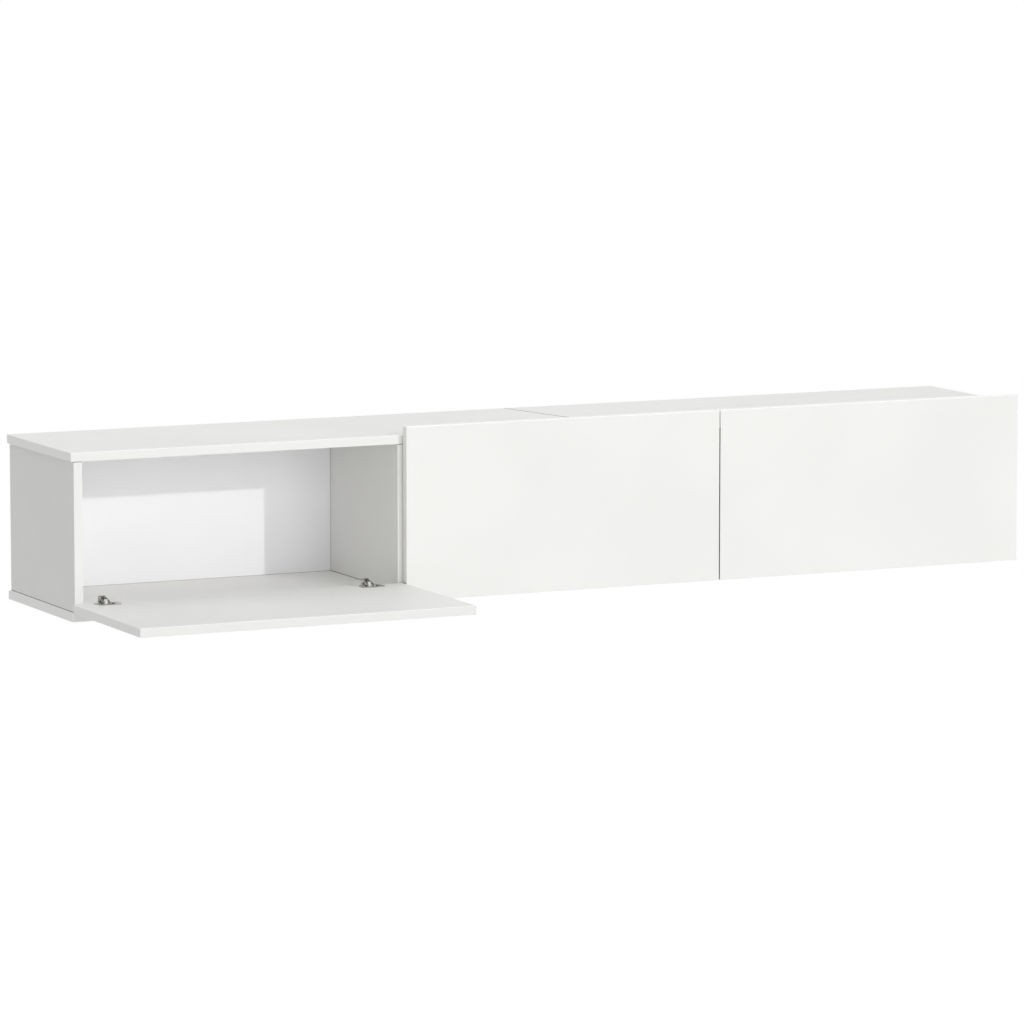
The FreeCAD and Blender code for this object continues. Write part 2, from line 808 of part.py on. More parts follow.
def upright_board(upright):
    name, left, right, side = upright
    middle = (left + right) / 2

    def front_arris(edge):
        upright_edge = abs(edge.tangentAt(edge.FirstParameter).z) > 0.9
        return upright_edge and edge.CenterOfMass.y < upright_front_y + edge_break

    board = eased(block(left, right, upright_front_y, 0, floor_z, ceiling_z), front_arris)
    tools = []
    if name != "side_panel_left":
        tools.append(back_groove(left, left + groove_depth, floor_z, ceiling_z))
    if name != "side_panel_right":
        tools.append(back_groove(right - groove_depth, right, floor_z, ceiling_z))
    for y in fixing_rows:
        tools.append(cam_hole(upright, y))
        tools.append(bolt_bore(V(middle, y, ceiling_z)))
        tools.append(confirmat_hole(V(middle, y, under_z)))
    for y in dowel_rows:
        tools.append(dowel_hole(V(middle, y, ceiling_z + dowel_in_panel), -Z_AXIS))
        tools.append(dowel_hole(V(middle, y, floor_z - dowel_in_panel), Z_AXIS))
    tools += [screw_hole(point, X_AXIS * -side) for point in hanger_screw_points(upright)]
    return cut(board, tools)


def back_board(left_upright, right_upright):
    tuck = groove_depth - groove_end_slack
    return block(
        left_upright[2] - tuck, right_upright[1] + tuck,
        back_front_y, back_rear_y, floor_z - tuck, ceiling_z + tuck)


# ---------------------------------------------------------------- writing the nodes
def save_carcass():
    left, right = top_boards()
    save("top_panel_left", [left])
    save("top_panel_right", [right])
    save("bottom_panel", [bottom_board()])
    for upright in uprights:
        save(upright[0], [upright_board(upright)])
    for name, before, after in zip(flap_names, uprights, uprights[1:]):
        save("back_panel_" + name, [back_board(before, after)])


def save_joinery():
    save("cam_housings", [cam(upright, y) for upright in uprights for y in fixing_rows])
    save("cam_bolts", [cam_bolt(point) for point in top_bolt_points])
    save("confirmat_screws", [confirmat(point) for point in confirmat_points])
    dowels = [dowel(point, -Z_AXIS) for point in top_dowel_starts]
    dowels += [dowel(point, Z_AXIS) for point in bottom_dowel_starts]
    save("carcass_dowels", dowels)
    save("top_joint_dowels", [dowel(point, seam_across) for point in seam_dowel_starts()])
    save("top_joint_plates", [seam_plate(y) for y in seam_plate_rows])
    save("top_joint_screws", [screw(point, Z_AXIS) for point in seam_screws])
    save("wall_hangers", [hanger(upright) for upright in uprights])
    save("wall_hanger_screws", [
        screw(point, X_AXIS * -upright[3])
        for upright in uprights for point in hanger_screw_points(upright)
    ])


def save_fixed_hinge_pieces():
    places = all_hinge_places()
    pieces = {
        "hinge_mounting_plates": mounting_plate(),
        "hinge_arms": arm(),
        "hinge_arm_pins": arm_pin(),
        "hinge_springs": spring(),
        "hinge_fixing_screws": arm_screw(
            fixing_screw_line, fixing_screw_radius, fixing_head_radius),
        "hinge_adjusting_screws": arm_screw(
            adjust_screw_line, adjust_screw_radius, adjust_head_radius),
    }
    for node, piece in pieces.items():
        save(node, [shifted(piece, x) for x in places])
    save("hinge_plate_screws", [
        screw(point, -Z_AXIS) for x in places for point in plate_screw_points(x)])


def save_flap(name):
    places = hinge_places(name)

    def spread(shapes, centre, degrees):
        return [
            turned_open(shifted(shape, x), name, centre, degrees)
            for x in places for shape in shapes
        ]

    save("flap_" + name, [turned_open(flap_board(name), name, pole, 90)])
    save("hinge_cups_" + name, spread([cup()], pole, 90))
    save("hinge_cup_pins_" + name, spread(cup_pins(), pole, 90))
    save("hinge_cup_screws_" + name, spread(
        [screw(point, -Y_AXIS) for point in cup_screw_points(0)], pole, 90))
    save("inner_links_" + name, spread([inner_link()], inner_arm_pin, inner_swing))
    save("outer_links_" + name, spread(outer_link(), outer_arm_pin, outer_swing))
    save("outer_link_pins_" + name, spread([outer_link_pin()], outer_arm_pin, outer_swing))


os.makedirs("parts", exist_ok=True)
save_carcass()
save_joinery()
save_fixed_hinge_pieces()
for flap_name in flap_names:
    save_flap(flap_name)
print("inner link's pin on the arm, y and z", inner_arm_pin, "swing", inner_swing)
print("outer link's pin on the arm, y and z", outer_arm_pin, "swing", outer_swing)
print("inner link's pin in the cup, shut", inner_cup_pin, "pole", pole)
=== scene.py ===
# %% [markdown]
# # A wall-hung media console with three drop-down flaps
# The console is a white board box with one flap open and two shut. Its boards, hinges and fastenings
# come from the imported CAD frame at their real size. This lesson gives the boards and metal their
# finishes, rounds the pressed metal, and makes the threads, flutes and springs that CAD leaves plain.

# %% Load the frame
import json
import math
from collections import namedtuple
from contextlib import contextmanager
from functools import reduce

import bmesh
import bpy
from mathutils import Matrix, Vector


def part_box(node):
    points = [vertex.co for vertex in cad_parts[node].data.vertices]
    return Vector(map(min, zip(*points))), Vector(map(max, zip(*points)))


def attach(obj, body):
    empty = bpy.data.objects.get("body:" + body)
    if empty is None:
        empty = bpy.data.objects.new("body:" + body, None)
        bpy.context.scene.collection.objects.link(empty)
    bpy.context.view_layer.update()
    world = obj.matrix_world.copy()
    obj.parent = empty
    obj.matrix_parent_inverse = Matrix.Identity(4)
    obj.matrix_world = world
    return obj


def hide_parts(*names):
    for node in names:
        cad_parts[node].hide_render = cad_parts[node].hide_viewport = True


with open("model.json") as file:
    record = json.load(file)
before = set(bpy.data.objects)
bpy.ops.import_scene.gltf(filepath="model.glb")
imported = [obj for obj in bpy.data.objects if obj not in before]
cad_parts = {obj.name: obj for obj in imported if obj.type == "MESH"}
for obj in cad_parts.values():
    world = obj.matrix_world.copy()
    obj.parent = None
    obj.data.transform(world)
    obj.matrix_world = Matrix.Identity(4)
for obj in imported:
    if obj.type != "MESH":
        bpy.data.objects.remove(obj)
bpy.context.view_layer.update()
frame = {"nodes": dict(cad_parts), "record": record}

MM = 0.001

# %% [markdown]
# Every new piece takes the place of a CAD node, so it needs to know two things about that node: the
# body that it moves with, and the slot that it takes its finish from. Both are in the record.

# %% Which body and which slot each node has
bodies = frame["record"]["behaviour"]["bodies"]
body_of = {node: body for body, members in bodies.items() for node in members}
slot_of = {part["node"]: part["material_slot"] for part in frame["record"]["subparts"]}
flap_names = ("left", "middle", "right")
print(len(bodies), "bodies and", len(set(slot_of.values())), "slots")

# %% [markdown]
# ## Camera
# The console is seen from a long way off through a long lens, which keeps its edges nearly parallel.
# The camera could be aimed by hand, but a place, a heading and a tilt say the same thing in numbers
# that can be checked. The shift stays at zero, so that the camera can go round the console.

# %% Camera
CAMERA_PLACE = Vector((-4.2655, -9.0355, 1.1546))
CAMERA_HEADING = 25.532      # degrees to the right of straight at the wall
CAMERA_TILT = 7.372          # degrees down
CAMERA_LENS = 200.19         # millimetres
SENSOR_WIDTH = 36.0
VIEW_END = 100.0             # metres


def aim(heading, tilt):
    """Unit vector for a heading to the right of +Y and a tilt down, in degrees."""
    turn = math.radians(heading)
    down = math.radians(tilt)
    return Vector((math.sin(turn) * math.cos(down), math.cos(turn) * math.cos(down), -math.sin(down)))


def new_object(name, data):
    """Object for a mesh, a lens or a lamp, linked into the scene."""
    item = bpy.data.objects.new(name, data)
    bpy.context.scene.collection.objects.link(item)
    return item


def aimed(name, data, place, direction):
    """Camera or lamp that stands at a place and looks in a direction."""
    item = new_object(name, data)
    item.location = place
    item.rotation_euler = direction.to_track_quat("-Z", "Y").to_euler()
    return item


lens = bpy.data.cameras.new("camera")
lens.lens = CAMERA_LENS
lens.sensor_width = SENSOR_WIDTH
lens.clip_end = VIEW_END
bpy.context.scene.camera = aimed("camera", lens, CAMERA_PLACE, aim(CAMERA_HEADING, CAMERA_TILT))
print("the camera is", round(CAMERA_PLACE.length, 2), "m from the wall eyes")

# %% [markdown]
# ## One helper for every node tree
# Materials and Geometry Nodes are both trees of nodes. One small function adds a node, gives it its
# settings, and fills its inputs with either plain values or links. Colours are written as the hex
# values that a paint chart would give, and turned to the linear numbers that light works in.

# %% Helpers for node trees
def add(tree, kind, inputs=(), **settings):
    """Adds a node. Each input takes a value, a socket, or a node, which gives its first output in use."""
    node = tree.nodes.new(kind)
    for name, value in settings.items():
        setattr(node, name, value)
    for socket, source in inputs.items() if isinstance(inputs, dict) else enumerate(inputs):
        if isinstance(source, bpy.types.Node):
            source = next(output for output in source.outputs if output.enabled)
        if isinstance(source, bpy.types.NodeSocket):
            tree.links.new(source, node.inputs[socket])
        else:
            node.inputs[socket].default_value = source
    return node


def chained(tree, operation, values):
    """One operation over several values, two at a time."""
    return reduce(
        lambda done, value: add(tree, "ShaderNodeMath", [done, value], operation=operation), values)


def linear(colour):
    """Linear RGBA from an sRGB hex value such as F2F2F0."""
    channels = [int(colour[start:start + 2], 16) / 255 for start in (0, 2, 4)]
    straight = [c / 12.92 if c <= 0.04045 else ((c + 0.055) / 1.055) ** 2.4 for c in channels]
    return (*straight, 1.0)


print("F2F2F0 in linear light is", [round(value, 3) for value in linear("F2F2F0")])

# %% Helpers for finishes
NOISE_LOW = 0.3              # a noise mostly stays between these two
NOISE_HIGH = 0.7
PLASTIC_IOR = 1.5            # of melamine film, edge bands and wood fibre alike


def new_finish(name):
    """Empty material, its tree, and the Object coordinates that its patterns lie in."""
    material = bpy.data.materials.new(name)
    material.use_nodes = True
    tree = material.node_tree
    tree.nodes.clear()
    return material, tree, add(tree, "ShaderNodeTexCoord").outputs["Object"]


def shade(tree, inputs):
    """Ends a finish with one Principled shader, whose inputs are constants or links."""
    shader = add(tree, "ShaderNodeBsdfPrincipled", inputs)
    add(tree, "ShaderNodeOutputMaterial", {"Surface": shader})


def per_mm(size):
    """Texture scale at which one cell of the pattern measures size millimetres."""
    return 1 / (size * MM)


def drift(tree, place, size, low, high, detail=2.0):
    """A value that wanders between low and high over so many millimetres."""
    noise = add(tree, "ShaderNodeTexNoise", {"Vector": place, "Scale": per_mm(size), "Detail": detail})
    return add(tree, "ShaderNodeMapRange", {
        "Value": noise, "From Min": NOISE_LOW, "From Max": NOISE_HIGH, "To Min": low, "To Max": high})


def layered(tree, colour, layers):
    """A colour under others, each laid on by its share. A Mix node takes colours at 0, 6 and 7."""
    for share, shade_on_top in layers:
        colour = add(tree, "ShaderNodeMix", {0: share, 6: colour, 7: shade_on_top}, data_type="RGBA")
    return colour


def clouds(tree, place, size, first, second):
    """One colour drifting into another over so many millimetres."""
    return layered(tree, linear(first), [(drift(tree, place, size, 0, 1), linear(second))])


print("a 2 mm pattern has a texture scale of", per_mm(2))

# %% [markdown]
# ## White melamine-faced chipboard
# The boards are chipboard pressed with a white melamine film, and banded on the edges that show. The
# film gives an even, slightly warm white with a satin shine and a very shallow orange peel. The band
# is plastic and shinier than the film. By the way it faces, it is painted a shade greyer on the fronts
# and whiter on the ends and on the grip edges of the flaps, which is painted light and shade. Its
# arrises are whitened, partly where a scraper took it flush and partly as a painted highlight. The
# bottom board's film is painted whiter than the others', as painted light, which lifts the floor of the
# compartments. The rear edges aren't banded: there the chips of wood show, as slivers that lie along
# the board. One recipe does all of it. It tells the places apart by Object coordinates, because a
# board's place is in its mesh, and bands from film by the way the board lies.

# %% Bare chips
# pale chips run to white, and the few at the very end of the ramp turn back to the wood's tone
CHIP_STOPS = ((0, "B0926A"), (1 / 3, "BFA278"), (2 / 3, "CDB48B"), (1, "FFFFFF"), (1, "D9C5A0"))
CHIP_LENGTH = 4.0            # mm along the board
CHIP_THICKNESS = 0.8


def chip_pattern(tree, place, along):
    """Slivers of wood, long in the board's own direction: colour and height."""
    spots = add(tree, "ShaderNodeMapping", {"Vector": place, "Scale": [
        per_mm(CHIP_LENGTH if axis == along else CHIP_THICKNESS) for axis in "XYZ"]})
    cells = add(tree, "ShaderNodeTexVoronoi", {"Vector": spots, "Scale": 1.0, "Randomness": 1.0}).outputs
    ramp = add(tree, "ShaderNodeValToRGB", {
        "Fac": add(tree, "ShaderNodeSeparateColor", {"Color": cells["Color"]})})
    stops = ramp.color_ramp.elements
    for share, colour in CHIP_STOPS[1:-1]:
        stops.new(share)
    for stop, (share, colour) in zip(stops, CHIP_STOPS):
        stop.color = linear(colour)
    return ramp, cells["Distance"]


print("chips of", CHIP_LENGTH, "by", CHIP_THICKNESS, "mm in", len(CHIP_STOPS), "tones")

# %% [markdown]
# A thin dark line tells boards that touch apart: partly the film's own colour and partly painted
# shadow. An upright's film is chipped where it meets top and bottom, and the shadow of that joint is
# painted over it. The top has one oblique joint, whose place and lean come from its two boards' boxes,
# and its line is painted shadow over a dark joint. In the narrow gap between two shut flaps, an end
# gets painted shade by how close its neighbour stands, so that it is white once one of them is open.

# %% Dark lines and painted shadow where boards meet
JOINT_LINE = 1.0             # mm at a cut end where the film is chipped and the joint throws a shadow
# the dark core of chipped film, with painted shadow of the joint over it
JOINT_CHIP_AND_SHADOW = "625D56"
# painted shadow of the joint in the top, over its own dark line
SEAM_CORE = 0.8              # mm each side of the joint in the top that lie in full shadow
SEAM_EDGE = 2.4              # mm each side at which its eased arrises end
# painted shade on a flap's end, by how much light its neighbour takes: none above GAP_OPEN, full under
# GAP_SHUT
GAP_PAINTED_SHADE = "9A9894"
GAP_REACH = 8.0              # mm within which a neighbour takes the light from a flap's end
GAP_OPEN = 0.6               # share of the light above which there is no gap
GAP_SHUT = 0.4               # share under which the gap is fully dark
GAP_RAYS = 4
upright_low, upright_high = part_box("side_panel_left")
left_top_low, left_top_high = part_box("top_panel_left")
seam_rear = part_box("top_panel_right")[0].x
seam_lean = (left_top_high.x - seam_rear) / left_top_low.y


def at_joint_shadow(tree, height):
    """1 within a joint line of the floor or the ceiling of the compartments, where painted shadow goes, 0
    elsewhere.
    """
    floor = upright_low.z + JOINT_LINE * MM
    ceiling = upright_high.z - JOINT_LINE * MM
    return chained(tree, "MAXIMUM", [
        add(tree, "ShaderNodeMath", [height, floor], operation="LESS_THAN"),
        add(tree, "ShaderNodeMath", [height, ceiling], operation="GREATER_THAN")])


def at_seam_shadow(tree, spot):
    """Painted shadow of the oblique joint between the two top boards: 1 at the joint, fading to 0 where
    its arrises end.
    """
    shift = add(tree, "ShaderNodeMath", [spot["Y"], seam_lean], operation="MULTIPLY")
    off = chained(tree, "SUBTRACT", [spot["X"], shift, seam_rear])
    near = add(tree, "ShaderNodeMapRange", {
        "Value": add(tree, "ShaderNodeMath", [off], operation="ABSOLUTE"),
        "From Min": SEAM_EDGE * MM, "From Max": SEAM_CORE * MM})
    above = upright_high.z + SEAM_EDGE * MM
    top = add(tree, "ShaderNodeMath", [spot["Z"], above], operation="GREATER_THAN")
    return chained(tree, "MULTIPLY", [near, top])


def painted_gap_shade(tree, end_faces, height):
    """Painted shade: 1 on a flap's end where another stands close beside it and the carcass behind it,
    else 0.
    """
    light = add(tree, "ShaderNodeAmbientOcclusion", {"Distance": GAP_REACH * MM}, samples=GAP_RAYS)
    closed = add(tree, "ShaderNodeMapRange", {
        "Value": light.outputs["AO"], "From Min": GAP_OPEN, "From Max": GAP_SHUT})
    backed = add(tree, "ShaderNodeMath", [height, upright_high.z], operation="LESS_THAN")
    return chained(tree, "MULTIPLY", [closed, end_faces, backed])


def bottom_painted_light(tree, spot):
    """Where light is painted: 1 on the bottom board, which lies lower than the uprights, and 0 on the
    other lying boards.
    """
    lowest = upright_low.z + JOINT_LINE * MM / 2
    front = upright_low.y - JOINT_LINE * MM
    return chained(tree, "MULTIPLY", [
        add(tree, "ShaderNodeMath", [spot["Z"], lowest], operation="LESS_THAN"),
        add(tree, "ShaderNodeMath", [spot["Y"], front], operation="GREATER_THAN")])


print("the joint in the top leans", round(math.degrees(math.atan(-seam_lean)), 1), "degrees")

# %% The white board's recipe
FILM_LIGHT = "F1F1EF"
FILM_DARK = "EDEDEB"
FILM_CLOUD = 240.0           # mm between slight changes of tone
# painted light: the bottom board's film is made whiter so that the floor of the compartments looks
# brighter
BOTTOM_FILM_PAINTED_LIGHT = "FAFAF8"
# whitened by the scraper, and whiter still as a painted highlight along every arris
SCRAPED_ARRIS_AND_HIGHLIGHT = "FCFCFA"
# painted light and shade: each band is painted lighter or greyer by the way that it faces
BANDS = {"X": "F6F6F4", "Y": "EBEBE9", "Z": "FFFFFF"}    # by the way that the edge faces
FACING = 0.95                # share of the normal that an axis takes on a face that looks along it
REAR_SKIN = 0.3              # mm in from the wall plane that count as the rear edge
FILM_ROUGH = (0.46, 0.54)
SHINE_CLOUD = 35.0           # mm between slight changes of the film's shine
BAND_ROUGH = 0.15
CHIP_ROUGH = 0.85
CHIP_DEPTH = 0.08
PEEL_SIZE = 1.5              # mm between the swells of the orange peel
PEEL_DEPTH = 0.004


def white_board(name, along, thin):
    """Finish of a board whose chips lie along one axis and whose thickness is along another."""
    material, tree, place = new_finish(name)
    spot = add(tree, "ShaderNodeSeparateXYZ", {"Vector": place}).outputs
    normal = add(tree, "ShaderNodeSeparateXYZ", {
        "Vector": add(tree, "ShaderNodeTexCoord").outputs["Normal"]}).outputs
    sizes = [add(tree, "ShaderNodeMath", [normal[axis]], operation="ABSOLUTE") for axis in "XYZ"]
    faces = {
        axis: add(tree, "ShaderNodeMath", [size, FACING], operation="GREATER_THAN")
        for axis, size in zip("XYZ", sizes)}
    # an arris is where no axis takes nearly all of the normal
    widest = chained(tree, "MAXIMUM", sizes)
    arris = add(tree, "ShaderNodeMath", [widest, FACING], operation="LESS_THAN")
    bare = add(tree, "ShaderNodeMath", [spot["Y"], -REAR_SKIN * MM], operation="GREATER_THAN")
    chips, chip_height = chip_pattern(tree, place, along)

    # painted light and shade on the bands, by the way that each faces
    layers = [(faces[axis], linear(BANDS[axis])) for axis in "XYZ" if axis != thin]
    # scraper whitening and a painted highlight along the arrises
    layers.append((arris, linear(SCRAPED_ARRIS_AND_HIGHLIGHT)))
    if thin == "X":
        # chipped film and painted shadow at the upright's joints with top and bottom
        layers.append((at_joint_shadow(tree, spot["Z"]), linear(JOINT_CHIP_AND_SHADOW)))
    else:
        # painted shade on the ends of shut flaps that stand close together
        layers.append((painted_gap_shade(tree, faces["X"], spot["Z"]), linear(GAP_PAINTED_SHADE)))
    if thin == "Z":
        # painted light on the bottom board
        layers.insert(0, (bottom_painted_light(tree, spot), linear(BOTTOM_FILM_PAINTED_LIGHT)))
        # painted shadow, over a dark joint line, along the oblique joint in the top
        layers.append((at_seam_shadow(tree, spot), linear(JOINT_CHIP_AND_SHADOW)))
    layers.append((bare, chips))
    film = clouds(tree, place, FILM_CLOUD, FILM_DARK, FILM_LIGHT)

    film_rough = chained(tree, "MULTIPLY", [drift(tree, place, SHINE_CLOUD, *FILM_ROUGH), faces[thin]])
    chip_rough = chained(tree, "MULTIPLY", [bare, CHIP_ROUGH])
    swells = add(tree, "ShaderNodeTexNoise", {"Vector": place, "Scale": per_mm(PEEL_SIZE), "Detail": 0.0})
    peel = chained(tree, "MULTIPLY", [swells, PEEL_DEPTH])
    pits = chained(tree, "MULTIPLY", [chip_height, bare, CHIP_DEPTH])
    shade(tree, {
        "Base Color": layered(tree, film, layers),
        "Roughness": chained(tree, "MAXIMUM", [film_rough, BAND_ROUGH, chip_rough]),
        "IOR": PLASTIC_IOR,
        "Normal": add(tree, "ShaderNodeBump", {
            "Height": chained(tree, "ADD", [peel, pits]), "Distance": MM})})
    return material


boards = {
    "X": white_board("white melamine, upright board", "Z", "X"),
    "Y": white_board("white melamine, shut flap", "X", "Y"),
    "Z": white_board("white melamine, lying board", "X", "Z"),
}
print("orange peel", PEEL_SIZE, "mm wide and", PEEL_DEPTH, "mm deep")

# %% [markdown]
# ## Hardboard
# The backs are 3 mm hardboard: wood fibre pressed hard, rolled white on the front and left brown
# behind, where the press screen leaves a fine weave. The two faces are told apart by which half of
# the thickness they are in. The screen is under a millimetre on the real board, which wouldn't show at
# all, so it is drawn more than ten times as coarse, as a faint unevenness of the brown face.

# %% Hardboard
ROLLED_WHITE = ("FBFAFC", "F8F7F9")
ROLLED_CLOUD = 120.0         # mm between slight changes of the white
# painted shadow where the hardboard runs into its grooves
GROOVE_SHADOW = "C4C2BE"
FIBRE_BROWN = ("9B7850", "A68258", "7F5F3E")
FIBRE_CLOUD = 60.0           # mm between changes of the brown
FIBRE_SIZE = 2.5             # mm of the clumps of fibre
FIBRE_SHARE = 0.4            # how far they darken it
SCREEN_PITCH = 12.566        # mm from one wire of the drawn screen to the next
SCREEN_DEPTH = 0.15
WAVE_TURN = 20               # radians that a wave texture turns through in one unit at scale 1
FRONT_ROUGH = 0.5
REAR_ROUGH = 0.7
back_low, back_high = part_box("back_panel_left")
back_middle = (back_low.y + back_high.y) / 2
upright_faces = [
    corner.x for node in ("side_panel_left", "divider_left", "divider_right", "side_panel_right")
    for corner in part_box(node)]


def screen_print(tree, place):
    """Height of the weave that a press screen leaves, between 0 and 1."""
    scale = per_mm(SCREEN_PITCH) * 2 * math.pi / WAVE_TURN
    waves = [
        add(tree, "ShaderNodeTexWave", {
            "Vector": place, "Scale": scale, "Distortion": 0.6, "Detail": 1.0, "Detail Scale": 2.0},
            wave_type="BANDS", bands_direction=axis)
        for axis in "XZ"]
    return chained(tree, "MULTIPLY", [wave.outputs["Fac"] for wave in waves])


def at_groove_shadow(tree, along_width):
    """1 within a joint line of an upright's face, where painted shadow goes, 0 elsewhere."""
    return chained(tree, "MAXIMUM", [
        add(tree, "ShaderNodeMath", [along_width, face, JOINT_LINE * MM], operation="COMPARE")
        for face in upright_faces])


def hardboard():
    material, tree, place = new_finish("hardboard, white in front")
    spot = add(tree, "ShaderNodeSeparateXYZ", {"Vector": place}).outputs
    behind = add(tree, "ShaderNodeMath", [spot["Y"], back_middle], operation="GREATER_THAN")
    # painted shadow along the grooves at the uprights, top and bottom
    edge = chained(tree, "MAXIMUM", [at_joint_shadow(tree, spot["Z"]), at_groove_shadow(tree, spot["X"])])
    white = clouds(tree, place, ROLLED_CLOUD, *ROLLED_WHITE)
    fibre = drift(tree, place, FIBRE_SIZE, 0, FIBRE_SHARE, 6.0)
    brown = clouds(tree, place, FIBRE_CLOUD, *FIBRE_BROWN[:2])
    brown = layered(tree, brown, [(fibre, linear(FIBRE_BROWN[2]))])
    duller = chained(tree, "MULTIPLY", [behind, REAR_ROUGH - FRONT_ROUGH])
    weave = chained(tree, "MULTIPLY", [screen_print(tree, place), behind])
    shade(tree, {
        "Base Color": layered(tree, white, [(edge, linear(GROOVE_SHADOW)), (behind, brown)]),
        "Roughness": chained(tree, "ADD", [duller, FRONT_ROUGH]),
        "IOR": PLASTIC_IOR,
        "Normal": add(tree, "ShaderNodeBump", {"Height": weave, "Distance": SCREEN_DEPTH * MM})})
    return material


back_board = hardboard()
print("hardboard faces part at Y =", round(back_middle / MM, 2), "mm")

# %% [markdown]
# ## Metals
# Four metals meet in a furniture hinge. The arms, cups and links are pressed steel, nickel plated in
# a drum, so they are bright with a soft skin. The mounting plates and cams are die-cast zinc, greyer
# and faintly pebbled. Screws and hangers are zinc plated, cooler and more even. The spring is oiled
# wire. They differ in colour, roughness and skin, and one recipe with four sets of values makes them.

# %% Metals
METAL_CLOUD = 9.0            # mm between changes of tone
HANDLING_MARKS = 3.0         # mm between changes of shine
SHINIER = 0.05               # how far the roughness strays down and up
DULLER = 0.08


def metal(name, pale, dark, rough, skin, depth):
    """Metal whose tone, shine and skin vary with noises. The skin's size and depth are in mm."""
    material, tree, place = new_finish(name)
    pebble = add(tree, "ShaderNodeTexNoise", {"Vector": place, "Scale": per_mm(skin), "Detail": 2.0})
    shade(tree, {
        "Base Color": clouds(tree, place, METAL_CLOUD, pale, dark),
        "Metallic": 1.0,
        "Roughness": drift(tree, place, HANDLING_MARKS, rough - SHINIER, rough + DULLER, 4.0),
        "Normal": add(tree, "ShaderNodeBump", {"Height": pebble, "Distance": depth * MM})})
    return material


nickel = metal("drum nickel on pressed steel", "BEBDBA", "A8A7A4", rough=0.3, skin=0.8, depth=0.01)
cast_zinc = metal("die-cast zinc, nickel flash", "A3A29F", "8F8E8B", rough=0.42, skin=0.5, depth=0.03)
zinc_plate = metal("bright zinc plate", "BFC2C4", "A8ABAE", rough=0.34, skin=0.6, depth=0.012)
spring_wire = metal("oiled spring wire", "8B8986", "6F6D6A", rough=0.35, skin=0.4, depth=0.01)
print("four metals, whose shine changes every", HANDLING_MARKS, "mm")

# %% [markdown]
# ## Beech
# The dowels are beech, cut along the grain and pressed with flutes that let the glue out. The grain
# runs along each dowel, and its short dark flecks are what tells beech from other pale woods. Most
# dowels stand upright, so a noise that is stretched along Z is grain enough for wood this small.

# %% Beech
BEECH = ("D8B68A", "C79F70", "A97E52")
BEECH_CLOUD = 14.0           # mm between changes of tone
BEECH_ROUGH = (0.6, 0.75)
FLECK = (0.5, 0.5, 4.0)      # mm across and along the grain
FLECK_SHARE = 0.6            # how far a fleck darkens the wood
FLECK_DEPTH = 0.05


def beech():
    material, tree, place = new_finish("beech dowel")
    along = add(tree, "ShaderNodeMapping", {"Vector": place, "Scale": [per_mm(size) for size in FLECK]})
    grain = add(tree, "ShaderNodeTexNoise", {"Vector": along, "Scale": 1.0, "Detail": 3.0})
    fleck, rough = [
        add(tree, "ShaderNodeMapRange", {
            "Value": grain, "From Min": NOISE_LOW, "From Max": NOISE_HIGH, "To Min": low, "To Max": high})
        for low, high in ((0, FLECK_SHARE), BEECH_ROUGH)]
    wood = clouds(tree, place, BEECH_CLOUD, *BEECH[:2])
    shade(tree, {
        "Base Color": layered(tree, wood, [(fleck, linear(BEECH[2]))]),
        "Roughness": rough,
        "IOR": PLASTIC_IOR,
        "Normal": add(tree, "ShaderNodeBump", {"Height": grain, "Distance": FLECK_DEPTH * MM})})
    return material


dowel_wood = beech()
print("beech flecks", FLECK[2], "mm long")

# %% [markdown]
# ## Giving the CAD nodes their finishes
# A CAD node keeps its mesh, and only its material slot is filled. A board takes the finish for the way
# it stands, which its thinnest direction tells.

# %% Finishes by slot
finishes = {
    "hardboard": back_board,
    "beech": dowel_wood,
    "zinc_plate": zinc_plate,
    "nickel_plate": nickel,
    "die_cast_zinc": cast_zinc,
    "spring_steel": spring_wire,
}


def finish_for(node):
    if slot_of[node] != "white_laminate":
        return finishes[slot_of[node]]
    low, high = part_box(node)
    return boards[min("XYZ", key=lambda axis: (high - low)["XYZ".index(axis)])]


def filled(mesh, material):
    """The mesh with one material in place of those that it had."""
    mesh.materials.clear()
    mesh.materials.append(material)
    return mesh


for node, board in frame["nodes"].items():
    filled(board.data, finish_for(node))
print(len(frame["nodes"]), "nodes finished")

# %% [markdown]
# ## Rounding the metal
# Pressed and cast metal has no sharp edges: the press rolls them over, and plating fills them. A
# hinge without that roundness looks like folded paper, because its edges catch no light. The CAD
# mesh is loose triangles, so a copy is welded first, its flat faces are joined up, and a Bevel
# modifier rolls every edge that is sharp enough to be a real one.

# %% Standing in for a CAD node
WELD = 0.002                 # mm within which the corners of loose triangles are one
FLAT = 0.5                   # degrees between faces that are one flat face


def stand_in(piece, node):
    """The piece moves with the body of the CAD node that it replaces, and the node is hidden."""
    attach(piece, body_of[node])
    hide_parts(node)


def settled(piece):
    """Replaces the piece's mesh by the result of its modifiers, and removes them."""
    bpy.context.view_layer.update()
    graph = bpy.context.evaluated_depsgraph_get()
    mesh = bpy.data.meshes.new_from_object(piece.evaluated_get(graph))
    piece.modifiers.clear()
    piece.data = mesh


@contextmanager
def editing(mesh):
    """Opens a mesh, old or new, for bmesh work, and writes the result into it."""
    work = bmesh.new()
    work.from_mesh(mesh)
    yield work
    work.to_mesh(mesh)
    work.free()


def welded_copy(node):
    """Copy of a CAD mesh with its triangles welded and its flat faces joined up."""
    mesh = frame["nodes"][node].data.copy()
    with editing(mesh) as work:
        bmesh.ops.remove_doubles(work, verts=work.verts, dist=WELD * MM)
        bmesh.ops.dissolve_limit(
            work, angle_limit=math.radians(FLAT), verts=work.verts, edges=work.edges)
        open_edges = sum(1 for edge in work.edges if not edge.is_manifold)
    return mesh, open_edges


print("corners within", WELD, "mm are welded")

